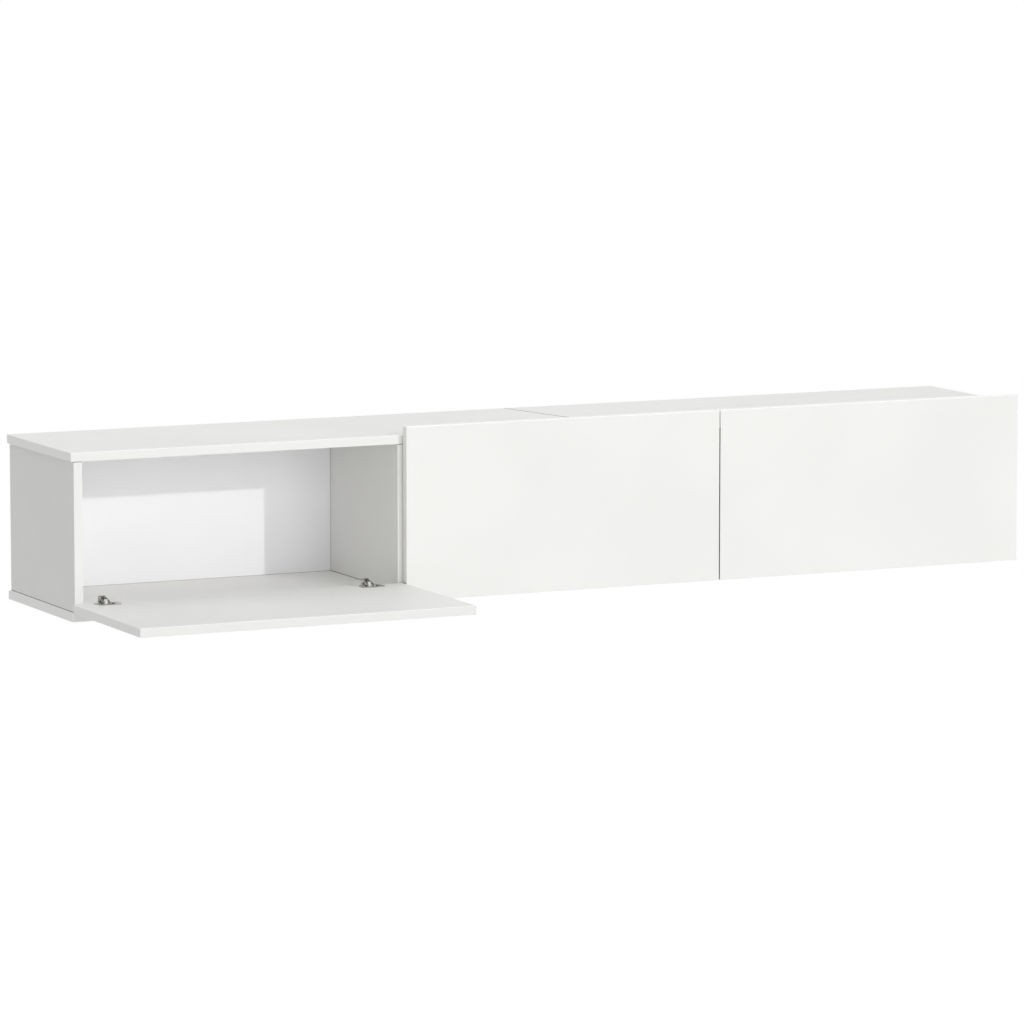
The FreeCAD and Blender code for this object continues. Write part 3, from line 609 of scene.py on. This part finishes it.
# %% Rounded hinge and joinery pieces
REAL_EDGE = 40               # degrees between faces that meet in an edge that is rolled
PRESSED_EDGE = 0.15          # mm radius on plate that is 1.2 mm thick
CAST_EDGE = 0.3


def rounded(name, node, radius):
    mesh, open_edges = welded_copy(node)
    piece = new_object(name, filled(mesh, finish_for(node)))
    roll = piece.modifiers.new("roll", "BEVEL")
    roll.width = radius * MM
    roll.segments = 2
    roll.limit_method = "ANGLE"
    roll.angle_limit = math.radians(REAL_EDGE)
    roll.harden_normals = False
    settled(piece)
    piece.data.shade_smooth()
    stand_in(piece, node)
    print(name, len(piece.data.polygons), "faces,", open_edges, "open edges before rounding")


rounded("cast_mounting_plates", "hinge_mounting_plates", CAST_EDGE)
rounded("pressed_hinge_arms", "hinge_arms", PRESSED_EDGE)
rounded("turned_arm_pins", "hinge_arm_pins", PRESSED_EDGE)
rounded("cast_cams", "cam_housings", CAST_EDGE)
rounded("pressed_joint_plates", "top_joint_plates", CAST_EDGE)
rounded("folded_wall_hangers", "wall_hangers", CAST_EDGE)
for flap in flap_names:
    for name, node in (
            ("pressed_cups_", "hinge_cups_"), ("turned_cup_pins_", "hinge_cup_pins_"),
            ("pressed_inner_links_", "inner_links_"), ("pressed_outer_links_", "outer_links_"),
            ("turned_link_pins_", "outer_link_pins_")):
        rounded(name + flap, node + flap, PRESSED_EDGE)

# %% [markdown]
# ## Where the fastenings stand
# Each node of fastenings is a group of separate solids. Their places could be typed in again, but the
# frame already has them: welding a copy and walking over its linked faces gives the vertices of each
# solid. The long axis of each is its direction, and the end with the wider ring is its head.

# %% Places of the fastenings
END_SHARE = 0.05             # share of a fastening's length that counts as its end


def solids_of(node):
    """Lists of vertex places, one for each separate solid of a node."""
    groups = []
    with editing(welded_copy(node)[0]) as work:
        waiting = dict.fromkeys(work.verts)     # a set would come in another order each run
        while waiting:
            reached = [waiting.popitem()[0]]
            group = []
            while reached:
                vertex = reached.pop()
                group.append(vertex.co.copy())
                for edge in vertex.link_edges:
                    neighbour = edge.other_vert(vertex)
                    if neighbour in waiting:
                        del waiting[neighbour]
                        reached.append(neighbour)
            groups.append(group)
    groups.sort(key=lambda group: tuple(round(value, 4) for value in sum(group, Vector()) / len(group)))
    return groups


def long_axis(group):
    """Lowest and highest corner of a solid, and the index of the axis that it is longest along."""
    low = Vector([min(co[axis] for co in group) for axis in range(3)])
    high = Vector([max(co[axis] for co in group) for axis in range(3)])
    axis = max(range(3), key=lambda index: high[index] - low[index])
    return low, high, axis


def standing(group):
    """Head place, direction, length and head radius of a fastening that stands along an axis."""
    low, high, axis = long_axis(group)
    middle = (low + high) / 2
    across = [index for index in range(3) if index != axis]

    def reach(end):
        near = [co for co in group if abs(co[axis] - end) < END_SHARE * (high[axis] - low[axis])]
        return max(math.hypot(*(co[index] - middle[index] for index in across)) for co in near)

    head_end, tail_end = low[axis], high[axis]
    if reach(high[axis]) > reach(low[axis]):
        head_end, tail_end = tail_end, head_end
    head = middle.copy()
    head[axis] = head_end
    direction = Vector()
    direction[axis] = 1.0 if tail_end > head_end else -1.0
    return head, direction, abs(tail_end - head_end), reach(head_end)


sample_length, sample_radius = standing(solids_of("confirmat_screws")[0])[2:]
print("a carcass screw is", round(sample_length / MM, 1), "mm long, its head's radius",
      round(sample_radius / MM, 2), "mm")

# %% [markdown]
# ## Trees that set fastenings out
# The same screw stands in many places. A Geometry Nodes tree does that well: it takes a mesh that has
# one vertex for each place, with the direction kept on the vertex as an attribute, and puts a copy of
# its pattern on each. Instances are realised at the end, because the export drops them.

# %% Helpers for Geometry Nodes
def new_tree(name, inputs):
    """Tree with a geometry input and output, a material, and named inputs with their defaults."""
    tree = bpy.data.node_groups.new(name, "GeometryNodeTree")
    tree.interface.new_socket(name="Geometry", in_out="INPUT", socket_type="NodeSocketGeometry")
    tree.interface.new_socket(name="Geometry", in_out="OUTPUT", socket_type="NodeSocketGeometry")
    for label, kind, value in (*inputs, ("Material", "Material", None)):
        socket = tree.interface.new_socket(name=label, in_out="INPUT", socket_type="NodeSocket" + kind)
        if value is not None:
            socket.default_value = value
    return tree, add(tree, "NodeGroupInput").outputs


def set_out(tree, given, pattern):
    """A copy of the pattern at each place, turned to its direction: how every tree here ends."""
    heading = add(
        tree, "GeometryNodeInputNamedAttribute", {"Name": "direction"}, data_type="FLOAT_VECTOR")
    copies = add(tree, "GeometryNodeInstanceOnPoints", {
        "Points": add(tree, "GeometryNodeMeshToPoints", {"Mesh": given["Geometry"]}),
        "Instance": pattern,
        "Rotation": add(tree, "FunctionNodeAlignRotationToVector", {"Vector": heading}, axis="Z")})
    real = add(tree, "GeometryNodeRealizeInstances", {"Geometry": copies})
    done = add(tree, "GeometryNodeSetMaterial", {"Geometry": real, "Material": given["Material"]})
    add(tree, "NodeGroupOutput", {"Geometry": done})


def place_mesh(places):
    """One vertex for each place, with its direction as an attribute."""
    mesh = bpy.data.meshes.new("places")
    mesh.from_pydata([tuple(place) for place, direction in places], [], [])
    heading = mesh.attributes.new("direction", "FLOAT_VECTOR", "POINT")
    for item, (place, direction) in zip(heading.data, places):
        item.vector = direction
    return mesh


def smooth_by_angle(mesh, degrees):
    """Soft shading over curved faces and crisp edges elsewhere."""
    with editing(mesh) as work:
        for face in work.faces:
            face.smooth = True
        for edge in work.edges:
            edge.smooth = len(edge.link_faces) == 2 and edge.calc_face_angle() < math.radians(degrees)


def grown(name, node, places, tree, values, crisp):
    """Plain mesh made by running a tree on a node's places. It stands in for the node."""
    piece = new_object(name, place_mesh(places))
    nodes = piece.modifiers.new("nodes", "NODES")
    nodes.node_group = tree
    values = {**values, "Material": finish_for(node)}
    for item in tree.interface.items_tree:
        if item.in_out == "INPUT" and item.name in values:
            nodes[item.identifier] = values[item.name]
    settled(piece)
    smooth_by_angle(piece.data, crisp)
    stand_in(piece, node)
    print(name, len(places), "copies,", len(piece.data.polygons), "faces")


print("each tree ends in Realize Instances and Set Material")

# %% [markdown]
# ## The tree for screws
# A screw's thread is a thin ridge that follows a spiral and fades at both ends, so its pitch and
# height are inputs that a reader can change. The tree joins it to the screw's body.

# %% The tree for screws
SPIRAL_STEPS = 16            # points in one turn of a thread
THREAD_FADE = 16.0           # the ridge is whole about a fifteenth of the thread in from each end
MEET = 0.001                 # mm within which two vertices are one


def screw_tree():
    tree, given = new_tree("screws", [
        ("Body", "Object", None),
        ("Thread radius", "Float", 0.002),
        ("Ridge", "Float", 0.0004),
        ("Pitch", "Float", 0.001),
        ("Thread start", "Float", 0.003),
        ("Thread length", "Float", 0.01),
    ])
    turns = add(tree, "ShaderNodeMath", [given["Thread length"], given["Pitch"]], operation="DIVIDE")
    spiral = add(tree, "GeometryNodeCurveSpiral", {
        "Resolution": SPIRAL_STEPS, "Rotations": turns, "Start Radius": given["Thread radius"],
        "End Radius": given["Thread radius"], "Height": given["Thread length"]})
    share = add(tree, "GeometryNodeSplineParameter")
    rest = add(tree, "ShaderNodeMath", [1.0, share], operation="SUBTRACT")
    rise = chained(tree, "MULTIPLY", [share, rest])
    fade = add(tree, "ShaderNodeMath", [rise, THREAD_FADE], operation="MULTIPLY", use_clamp=True)
    edge = add(tree, "GeometryNodeCurvePrimitiveCircle", {"Resolution": 4, "Radius": given["Ridge"]})
    tube = add(tree, "GeometryNodeCurveToMesh", {
        "Curve": spiral, "Profile Curve": edge, "Scale": fade, "Fill Caps": True})
    ridge = add(tree, "GeometryNodeMergeByDistance", {"Geometry": tube, "Distance": MEET * MM})
    lift = add(tree, "ShaderNodeCombineXYZ", {"Z": given["Thread start"]})
    thread = add(tree, "GeometryNodeTransform", {"Geometry": ridge, "Translation": lift})
    body = add(tree, "GeometryNodeObjectInfo", {"Object": given["Body"]})
    screw = add(tree, "GeometryNodeJoinGeometry", {"Geometry": thread})
    tree.links.new(body.outputs["Geometry"], screw.inputs["Geometry"])
    set_out(tree, given, screw)
    return tree


screws = screw_tree()
print("the screw tree has", len(screws.nodes), "nodes")

# %% [markdown]
# ## Screw bodies
# A screw's body is turned: a profile of radius and height spun round its axis. The head's recess is
# cut with a Boolean, once for each kind of screw, before the tree copies it. Heads lie at the origin
# and shanks point along +Z.

# %% Turned bodies and recesses
CROSS_WIDTH = 0.8            # mm across each slot of a cross recess
CROSS_TAPER = 0.45           # share of its span that is left at its bottom
HEX_TURN = 5                 # degrees, so that no corner of the socket meets a seam of the body


def turned(name, profile, sides=32):
    """Closed solid turned from (radius, height) points in millimetres, both ends on the axis."""
    mesh = bpy.data.meshes.new(name)
    with editing(mesh) as work:
        rings = []
        for radius, height in profile:
            turns = [2 * math.pi * side / sides for side in range(sides if radius else 1)]
            rings.append([
                work.verts.new((radius * MM * math.cos(turn), radius * MM * math.sin(turn), height * MM))
                for turn in turns])
        for lower, upper in zip(rings, rings[1:]):
            for side in range(sides):
                corners = [
                    lower[side % len(lower)], lower[(side + 1) % len(lower)],
                    upper[(side + 1) % len(upper)], upper[side % len(upper)]]
                work.faces.new(dict.fromkeys(corners))
        bmesh.ops.recalc_face_normals(work, faces=work.faces)
    return mesh


def cross_cutter(span, depth):
    """Two crossed wedges that narrow downwards, as a cross-head driver does."""
    mesh = bpy.data.meshes.new("cross")
    with editing(mesh) as work:
        for along_x in (True, False):
            for vertex in bmesh.ops.create_cube(work, size=1.0)["verts"]:
                deep = vertex.co.z > 0
                reach = span * CROSS_TAPER if deep else span
                x, y = (reach, CROSS_WIDTH) if along_x else (CROSS_WIDTH, reach)
                z = depth if deep else -depth
                vertex.co = Vector((vertex.co.x * x, vertex.co.y * y, z)) * MM
    return mesh


def hex_cutter(across, depth):
    """Hexagonal socket with a drilled cone at its bottom."""
    corner = across / math.sqrt(3)
    mesh = turned("hexagon", [(0, -depth), (corner, -depth), (corner, depth), (0, depth + corner / 2)], 6)
    mesh.transform(Matrix.Rotation(math.radians(HEX_TURN), 4, "Z"))
    return mesh


def recessed(name, profile, cutter):
    """Object for a turned body with its recess cut, for the tree to copy."""
    piece = new_object(name, turned(name, profile))
    tool = new_object(name + " cutter", cutter)
    cut = piece.modifiers.new("recess", "BOOLEAN")
    cut.object = tool
    cut.operation = "DIFFERENCE"
    cut.solver = "EXACT"
    cut.use_self = True
    settled(piece)
    bpy.data.objects.remove(tool)
    with editing(piece.data) as work:
        bmesh.ops.remove_doubles(work, verts=work.verts, dist=MEET * MM)
        bmesh.ops.dissolve_degenerate(work, edges=work.edges, dist=MEET * MM)
    return piece

# %% [markdown]
# The plate, hanger, cup and joint screws are all the same small chipboard screw: a countersunk head,
# a thin core and a coarse thread with a sharp ridge. The long carcass screws have a thick smooth neck
# under the head, a hexagon socket, and a blunt point. The arm's two screws are machine screws with a
# pan head and a fine thread. The cam bolts have a coarse thread, a collar, and a ball-like head that
# the cam draws down.

# %% Small chipboard screws
Thread = namedtuple("Thread", "radius ridge pitch start length")     # all in millimetres
CRISP_THREAD = 35            # degrees between faces above which an edge stays crisp


def set_screws(name, node, body, thread, places=None):
    """Sets a screw body with its thread at every place of a node."""
    grown(name, node, places or [standing(group)[:2] for group in solids_of(node)], screws, {
        "Body": body, "Thread radius": thread.radius * MM, "Ridge": thread.ridge * MM,
        "Pitch": thread.pitch * MM, "Thread start": thread.start * MM,
        "Thread length": thread.length * MM}, CRISP_THREAD)


HEAD_RADIUS = 3.4
CORE_RADIUS = 1.2
SPIRAL_RADIUS = CORE_RADIUS + 0.12
THREAD_RADIUS = 1.75
small_screw = recessed("small screw", [
    (0, 0), (3.25, 0), (HEAD_RADIUS, 0.12), (HEAD_RADIUS, 0.25), (1.5, 1.9), (CORE_RADIUS, 2.5),
    (CORE_RADIUS, 10.0), (0.15, 12.9), (0, 13.0)], cross_cutter(3.6, 1.6))
small_thread = Thread(SPIRAL_RADIUS, THREAD_RADIUS - SPIRAL_RADIUS, pitch=1.6, start=2.6, length=8.6)
set_screws("threaded_plate_screws", "hinge_plate_screws", small_screw, small_thread)
set_screws("threaded_hanger_screws", "wall_hanger_screws", small_screw, small_thread)
set_screws("threaded_joint_screws", "top_joint_screws", small_screw, small_thread)
for flap in flap_names:
    set_screws("threaded_cup_screws_" + flap, "hinge_cup_screws_" + flap, small_screw, small_thread)

# %% Long carcass screws
LONG_HEAD = 4.9              # radii
LONG_NECK = 3.5
LONG_CORE = 2.6
long_screw = recessed("long screw", [
    (0, 0), (4.75, 0), (LONG_HEAD, 0.15), (LONG_HEAD, 0.8), (LONG_NECK, 4.0), (LONG_NECK, 15.0),
    (LONG_CORE, 15.6), (LONG_CORE, 46.5), (1.4, 49.7), (0, 50.0)], hex_cutter(4.0, 2.6))
set_screws("threaded_carcass_screws", "confirmat_screws", long_screw, Thread(
    radius=LONG_CORE + 0.1, ridge=0.75, pitch=3.0, start=16.2, length=30.0))

# %% Machine screws
PAN_HEIGHT = 1.3
PAN_RECESS = 0.9
FINE_RIDGE = 0.25            # height of a machine screw's thread


def pan_screw(name, node, radius, pitch):
    """Machine screw as large as the node's, with its thread, set at the node's places."""
    length, rim = [size / MM for size in standing(solids_of(node)[0])[2:]]
    core = radius - FINE_RIDGE
    body = recessed(name, [
        (0, 0), (rim - 0.5, 0), (rim - 0.1, 0.2), (rim, 0.5), (rim, PAN_HEIGHT), (core, PAN_HEIGHT),
        (core, length - 0.4), (core - 0.4, length), (0, length)], cross_cutter(rim * 1.1, PAN_RECESS))
    set_screws("threaded_" + node.removeprefix("hinge_"), node, body, Thread(
        core, FINE_RIDGE, pitch, start=PAN_HEIGHT + 0.2, length=length - PAN_HEIGHT - 0.6))
    return body


fixing_screw = pan_screw("fixing screw", "hinge_fixing_screws", 2.0, 0.7)
adjusting_screw = pan_screw("adjusting screw", "hinge_adjusting_screws", 1.5, 0.5)

# %% Cam bolts
BOLT_THREAD = 11.0
BOLT_CORE = 2.1              # radii
COLLAR = 3.6
SHANK = 3.0
NECK = 2.0
BALL = 3.2
bolt_low, bolt_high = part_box("cam_bolts")
bolt_length = (bolt_high.z - bolt_low.z) / MM
cam_bolt = recessed("cam bolt", [
    (0, 0), (1.9, 0), (BOLT_CORE, 0.5), (BOLT_CORE, BOLT_THREAD), (3.4, BOLT_THREAD),
    (COLLAR, BOLT_THREAD + 0.3), (COLLAR, BOLT_THREAD + 1.7), (SHANK, BOLT_THREAD + 2.0),
    (SHANK, bolt_length - 11.5), (NECK, bolt_length - 11.0), (NECK, bolt_length - 4.0),
    (2.7, bolt_length - 3.9), (BALL, bolt_length - 3.2), (BALL, bolt_length - 1.2),
    (2.6, bolt_length - 0.2), (0, bolt_length)], cross_cutter(2.6, 1.2))
bolt_places = []
for group in solids_of("cam_bolts"):
    low, high = long_axis(group)[:2]
    head = Vector(((low.x + high.x) / 2, (low.y + high.y) / 2, high.z))
    bolt_places.append((head, Vector((0, 0, -1))))
set_screws("threaded_cam_bolts", "cam_bolts", cam_bolt, Thread(
    radius=BOLT_CORE + 0.1, ridge=0.35, pitch=1.8, start=0.6, length=BOLT_THREAD - 1), bolt_places)
print("cam bolts", round(bolt_length, 1), "mm long")

# %% [markdown]
# ## Fluted dowels
# A glue dowel is a rule: a rod whose radius dips a little once for each flute, and whose ends are
# bevelled. The tree starts with a cylinder that has enough sides and rows, and moves each point in or
# out by that rule. Number of flutes, their depth and the bevel are inputs.

# %% The tree for dowels
FLUTE_STEPS = 4              # sides of the rod for each flute
DOWEL_ROWS = 30


def dowel_tree():
    tree, given = new_tree("dowels", [
        ("Radius", "Float", 0.004),
        ("Length", "Float", 0.03),
        ("Flutes", "Int", 20),
        ("Flute depth", "Float", 0.0003),
        ("End bevel", "Float", 0.001),
    ])
    rod = add(tree, "GeometryNodeMeshCylinder", {
        "Vertices": chained(tree, "MULTIPLY", [given["Flutes"], FLUTE_STEPS]),
        "Side Segments": DOWEL_ROWS, "Radius": given["Radius"], "Depth": given["Length"]})
    place = add(tree, "ShaderNodeSeparateXYZ", {"Vector": add(tree, "GeometryNodeInputPosition")}).outputs
    turn = add(tree, "ShaderNodeMath", [place["Y"], place["X"]], operation="ARCTAN2")
    angle = chained(tree, "MULTIPLY", [turn, given["Flutes"]])
    wave = chained(tree, "ADD", [add(tree, "ShaderNodeMath", [angle], operation="COSINE"), 1.0])
    dip = chained(tree, "MULTIPLY", [wave, 0.5, given["Flute depth"]])
    half = chained(tree, "MULTIPLY", [given["Length"], 0.5])
    height = add(tree, "ShaderNodeMath", [place["Z"]], operation="ABSOLUTE")
    to_end = chained(tree, "SUBTRACT", [half, height])
    bevels = chained(tree, "DIVIDE", [to_end, given["End bevel"]])
    near_end = add(tree, "ShaderNodeMath", [1.0, bevels], operation="SUBTRACT", use_clamp=True)
    cut_in = chained(tree, "ADD", [dip, chained(tree, "MULTIPLY", [near_end, given["End bevel"]])])
    keep = chained(tree, "SUBTRACT", [1.0, chained(tree, "DIVIDE", [cut_in, given["Radius"]])])
    moved = add(tree, "ShaderNodeCombineXYZ", {
        "X": chained(tree, "MULTIPLY", [place["X"], keep]),
        "Y": chained(tree, "MULTIPLY", [place["Y"], keep]),
        "Z": place["Z"]})
    set_out(tree, given, add(tree, "GeometryNodeSetPosition", {"Geometry": rod, "Position": moved}))
    return tree


dowels = dowel_tree()
print("the dowel tree has", len(dowels.nodes), "nodes")

# %% Dowels in their places
DOWEL_RADIUS = 4.0
DOWEL_LENGTH = 30.0
DOWEL_END = 2.2 * DOWEL_RADIUS    # a little over the diameter, so that it takes in one whole end
CRISP_FLUTE = 50             # degrees


def along_solid(group):
    """Middle and direction of a straight solid that may stand at any angle."""
    middle = sum(group, Vector()) / len(group)
    far = max(group, key=lambda co: (co - middle).length)
    end = [co for co in group if (co - far).length < DOWEL_END * MM]
    direction = (sum(end, Vector()) / len(end) - middle).normalized()
    # both ends are equally far off, and rounding would pick either, so the higher one is taken
    return middle, direction if direction[long_axis(group)[2]] > 0 else -direction


for name, node in (
        ("fluted_carcass_dowels", "carcass_dowels"), ("fluted_joint_dowels", "top_joint_dowels")):
    grown(name, node, [along_solid(group) for group in solids_of(node)], dowels, {
        "Radius": DOWEL_RADIUS * MM, "Length": DOWEL_LENGTH * MM, "Flutes": 20, "Flute depth": 0.3 * MM,
        "End bevel": 1.0 * MM}, CRISP_FLUTE)

# %% [markdown]
# ## Hinge springs
# Each hinge closes itself with a short coil of wire round the rear link's pin. CAD holds it as a
# solid sleeve; here it is the wire itself: a helix with one leg along the arm's roof. The helix is a
# loop of points, and the tree gives the line its thickness and sets it at each hinge.

# %% The spring's wire
WIRE_RADIUS = 0.4
COILS = 7
COIL_STEPS = 20              # points in one coil
LEG_STEPS = (0.33, 0.67, 1.0)


def spring_line(low, high):
    """Points of the wire's middle line round the origin of the coil, in metres."""
    wire = WIRE_RADIUS * MM
    outer = (high.z - low.z) / 2
    radius = outer - wire
    half = (COILS - 1) * wire    # from the coil's middle to the middle of its last wire
    points = []
    steps = COIL_STEPS * COILS
    for step in range(steps + 1):
        turn = 2 * math.pi * step / COIL_STEPS
        along = half * (2 * step / steps - 1)
        points.append(Vector((along, radius * math.sin(turn), radius * math.cos(turn))))
    leg_end = points[-1] + Vector((0, high.y - low.y - outer - wire, 0))
    points += [points[-1].lerp(leg_end, share) for share in LEG_STEPS]
    return points


spring_boxes = [long_axis(group)[:2] for group in solids_of("hinge_springs")]
wire_points = spring_line(*spring_boxes[0])
line_mesh = bpy.data.meshes.new("spring line")
line_mesh.from_pydata(wire_points, [(step, step + 1) for step in range(len(wire_points) - 1)], [])
line_object = new_object("spring line", line_mesh)
print("a spring's line has", len(wire_points), "points")

# %% Springs at their hinges
CRISP_WIRE = 60              # degrees


def wire_tree():
    tree, given = new_tree("wires", [
        ("Line", "Object", None),
        ("Wire radius", "Float", 0.0004),
    ])
    line = add(tree, "GeometryNodeObjectInfo", {"Object": given["Line"]}).outputs["Geometry"]
    section = add(tree, "GeometryNodeCurvePrimitiveCircle", {
        "Resolution": 8, "Radius": given["Wire radius"]})
    wire = add(tree, "GeometryNodeCurveToMesh", {
        "Curve": add(tree, "GeometryNodeMeshToCurve", {"Mesh": line}),
        "Profile Curve": section, "Fill Caps": True})
    set_out(tree, given, wire)
    return tree


spring_places = []
for low, high in spring_boxes:
    radius = (high.z - low.z) / 2
    middle = Vector(((low.x + high.x) / 2, low.y + radius, low.z + radius))
    spring_places.append((middle, Vector((0, 0, 1))))
grown("wound_hinge_springs", "hinge_springs", spring_places, wire_tree(), {
    "Line": line_object, "Wire radius": WIRE_RADIUS * MM}, CRISP_WIRE)

# %% Put the patterns away
for pattern in (small_screw, long_screw, fixing_screw, adjusting_screw, cam_bolt, line_object):
    bpy.data.objects.remove(pattern)

# %% [markdown]
# ## Floor, world and lamps
# A product stands in even white light with one clear key light. Here the key is a distant lamp from
# the front right, low enough to reach the back of the open compartment. A very broad one in front
# fills the compartment and the flaps, a soft lamp above lifts the tops, and the world does the rest.
# The floor is a plain pale sheet, far enough down that the console plainly hangs and can be seen from
# below, and the world looks white to the camera and in reflections without putting more light on the
# object.

# %% Floor and world
FLOOR_DROP = 8.0             # metres
FLOOR_HALF = 40.0
FLOOR_WHITE = "F4F4F2"
FLOOR_GLOW = 0.5             # what makes the floor as white as the world where it is seen
WORLD_STRENGTH = 0.487
PURE_WHITE = (1, 1, 1, 1)


def seen(tree):
    """1 for what the camera sees, straight, reflected or through something, and 0 for other light."""
    path = add(tree, "ShaderNodeLightPath").outputs
    return chained(tree, "MAXIMUM", [
        path[ray] for ray in ("Is Camera Ray", "Is Glossy Ray", "Is Transmission Ray")])


def pale_floor():
    mesh = bpy.data.meshes.new("floor")
    with editing(mesh) as work:
        work.faces.new([
            work.verts.new((x * FLOOR_HALF, y * FLOOR_HALF, -FLOOR_DROP))
            for x, y in ((-1, -1), (1, -1), (1, 1), (-1, 1))])
    material, tree, place = new_finish("pale floor")
    shade(tree, {
        "Base Color": linear(FLOOR_WHITE), "Roughness": 0.9, "Emission Color": PURE_WHITE,
        "Emission Strength": chained(tree, "MULTIPLY", [seen(tree), FLOOR_GLOW])})
    new_object("floor", filled(mesh, material))


def white_world():
    world = bpy.data.worlds.new("white room")
    world.use_nodes = True
    tree = world.node_tree
    tree.nodes.clear()
    strength = chained(tree, "MAXIMUM", [seen(tree), WORLD_STRENGTH])
    background = add(tree, "ShaderNodeBackground", {"Color": PURE_WHITE, "Strength": strength})
    add(tree, "ShaderNodeOutputWorld", {"Surface": background})
    bpy.context.scene.world = world


pale_floor()
white_world()
print("floor", FLOOR_DROP, "m under the wall eyes")

# %% Lamps
def lamp(name, kind, place, direction, energy, **settings):
    data = bpy.data.lights.new(name, kind)
    data.energy = energy
    for setting, value in settings.items():
        setattr(data, setting, value)
    return aimed(name, data, place, direction)


KEY_DIRECTION = Vector((-0.445, 1.0, -0.355))
KEY_STRENGTH = 0.66
KEY_SOFTNESS = 1.0           # degrees across, which is how soft its shadows' edges are
FILL_STRENGTH = 1.16
FILL_SOFTNESS = 50.0
SUN_PLACE = Vector((0, -4, 2))    # a sun shines the same wherever it stands
OVERHEAD_PLACE = Vector((0, -0.5, 3.0))
OVERHEAD_POWER = 41.6
for name, direction, strength, softness in (
        ("key", KEY_DIRECTION, KEY_STRENGTH, KEY_SOFTNESS),
        ("fill", aim(0, 0), FILL_STRENGTH, FILL_SOFTNESS)):
    sun = lamp(name, "SUN", SUN_PLACE, direction, strength, angle=math.radians(softness))
    sun.visible_glossy = False   # seen against such a low lamp, the satin top would burn out
lamp("overhead", "AREA", OVERHEAD_PLACE, Vector((0, 0, -1)), OVERHEAD_POWER,
     shape="RECTANGLE", size=5.0, size_y=4.0)
bpy.context.scene.view_settings.view_transform = "Standard"
print("key from", [round(-value, 2) for value in KEY_DIRECTION], "with a fill and a lamp overhead")
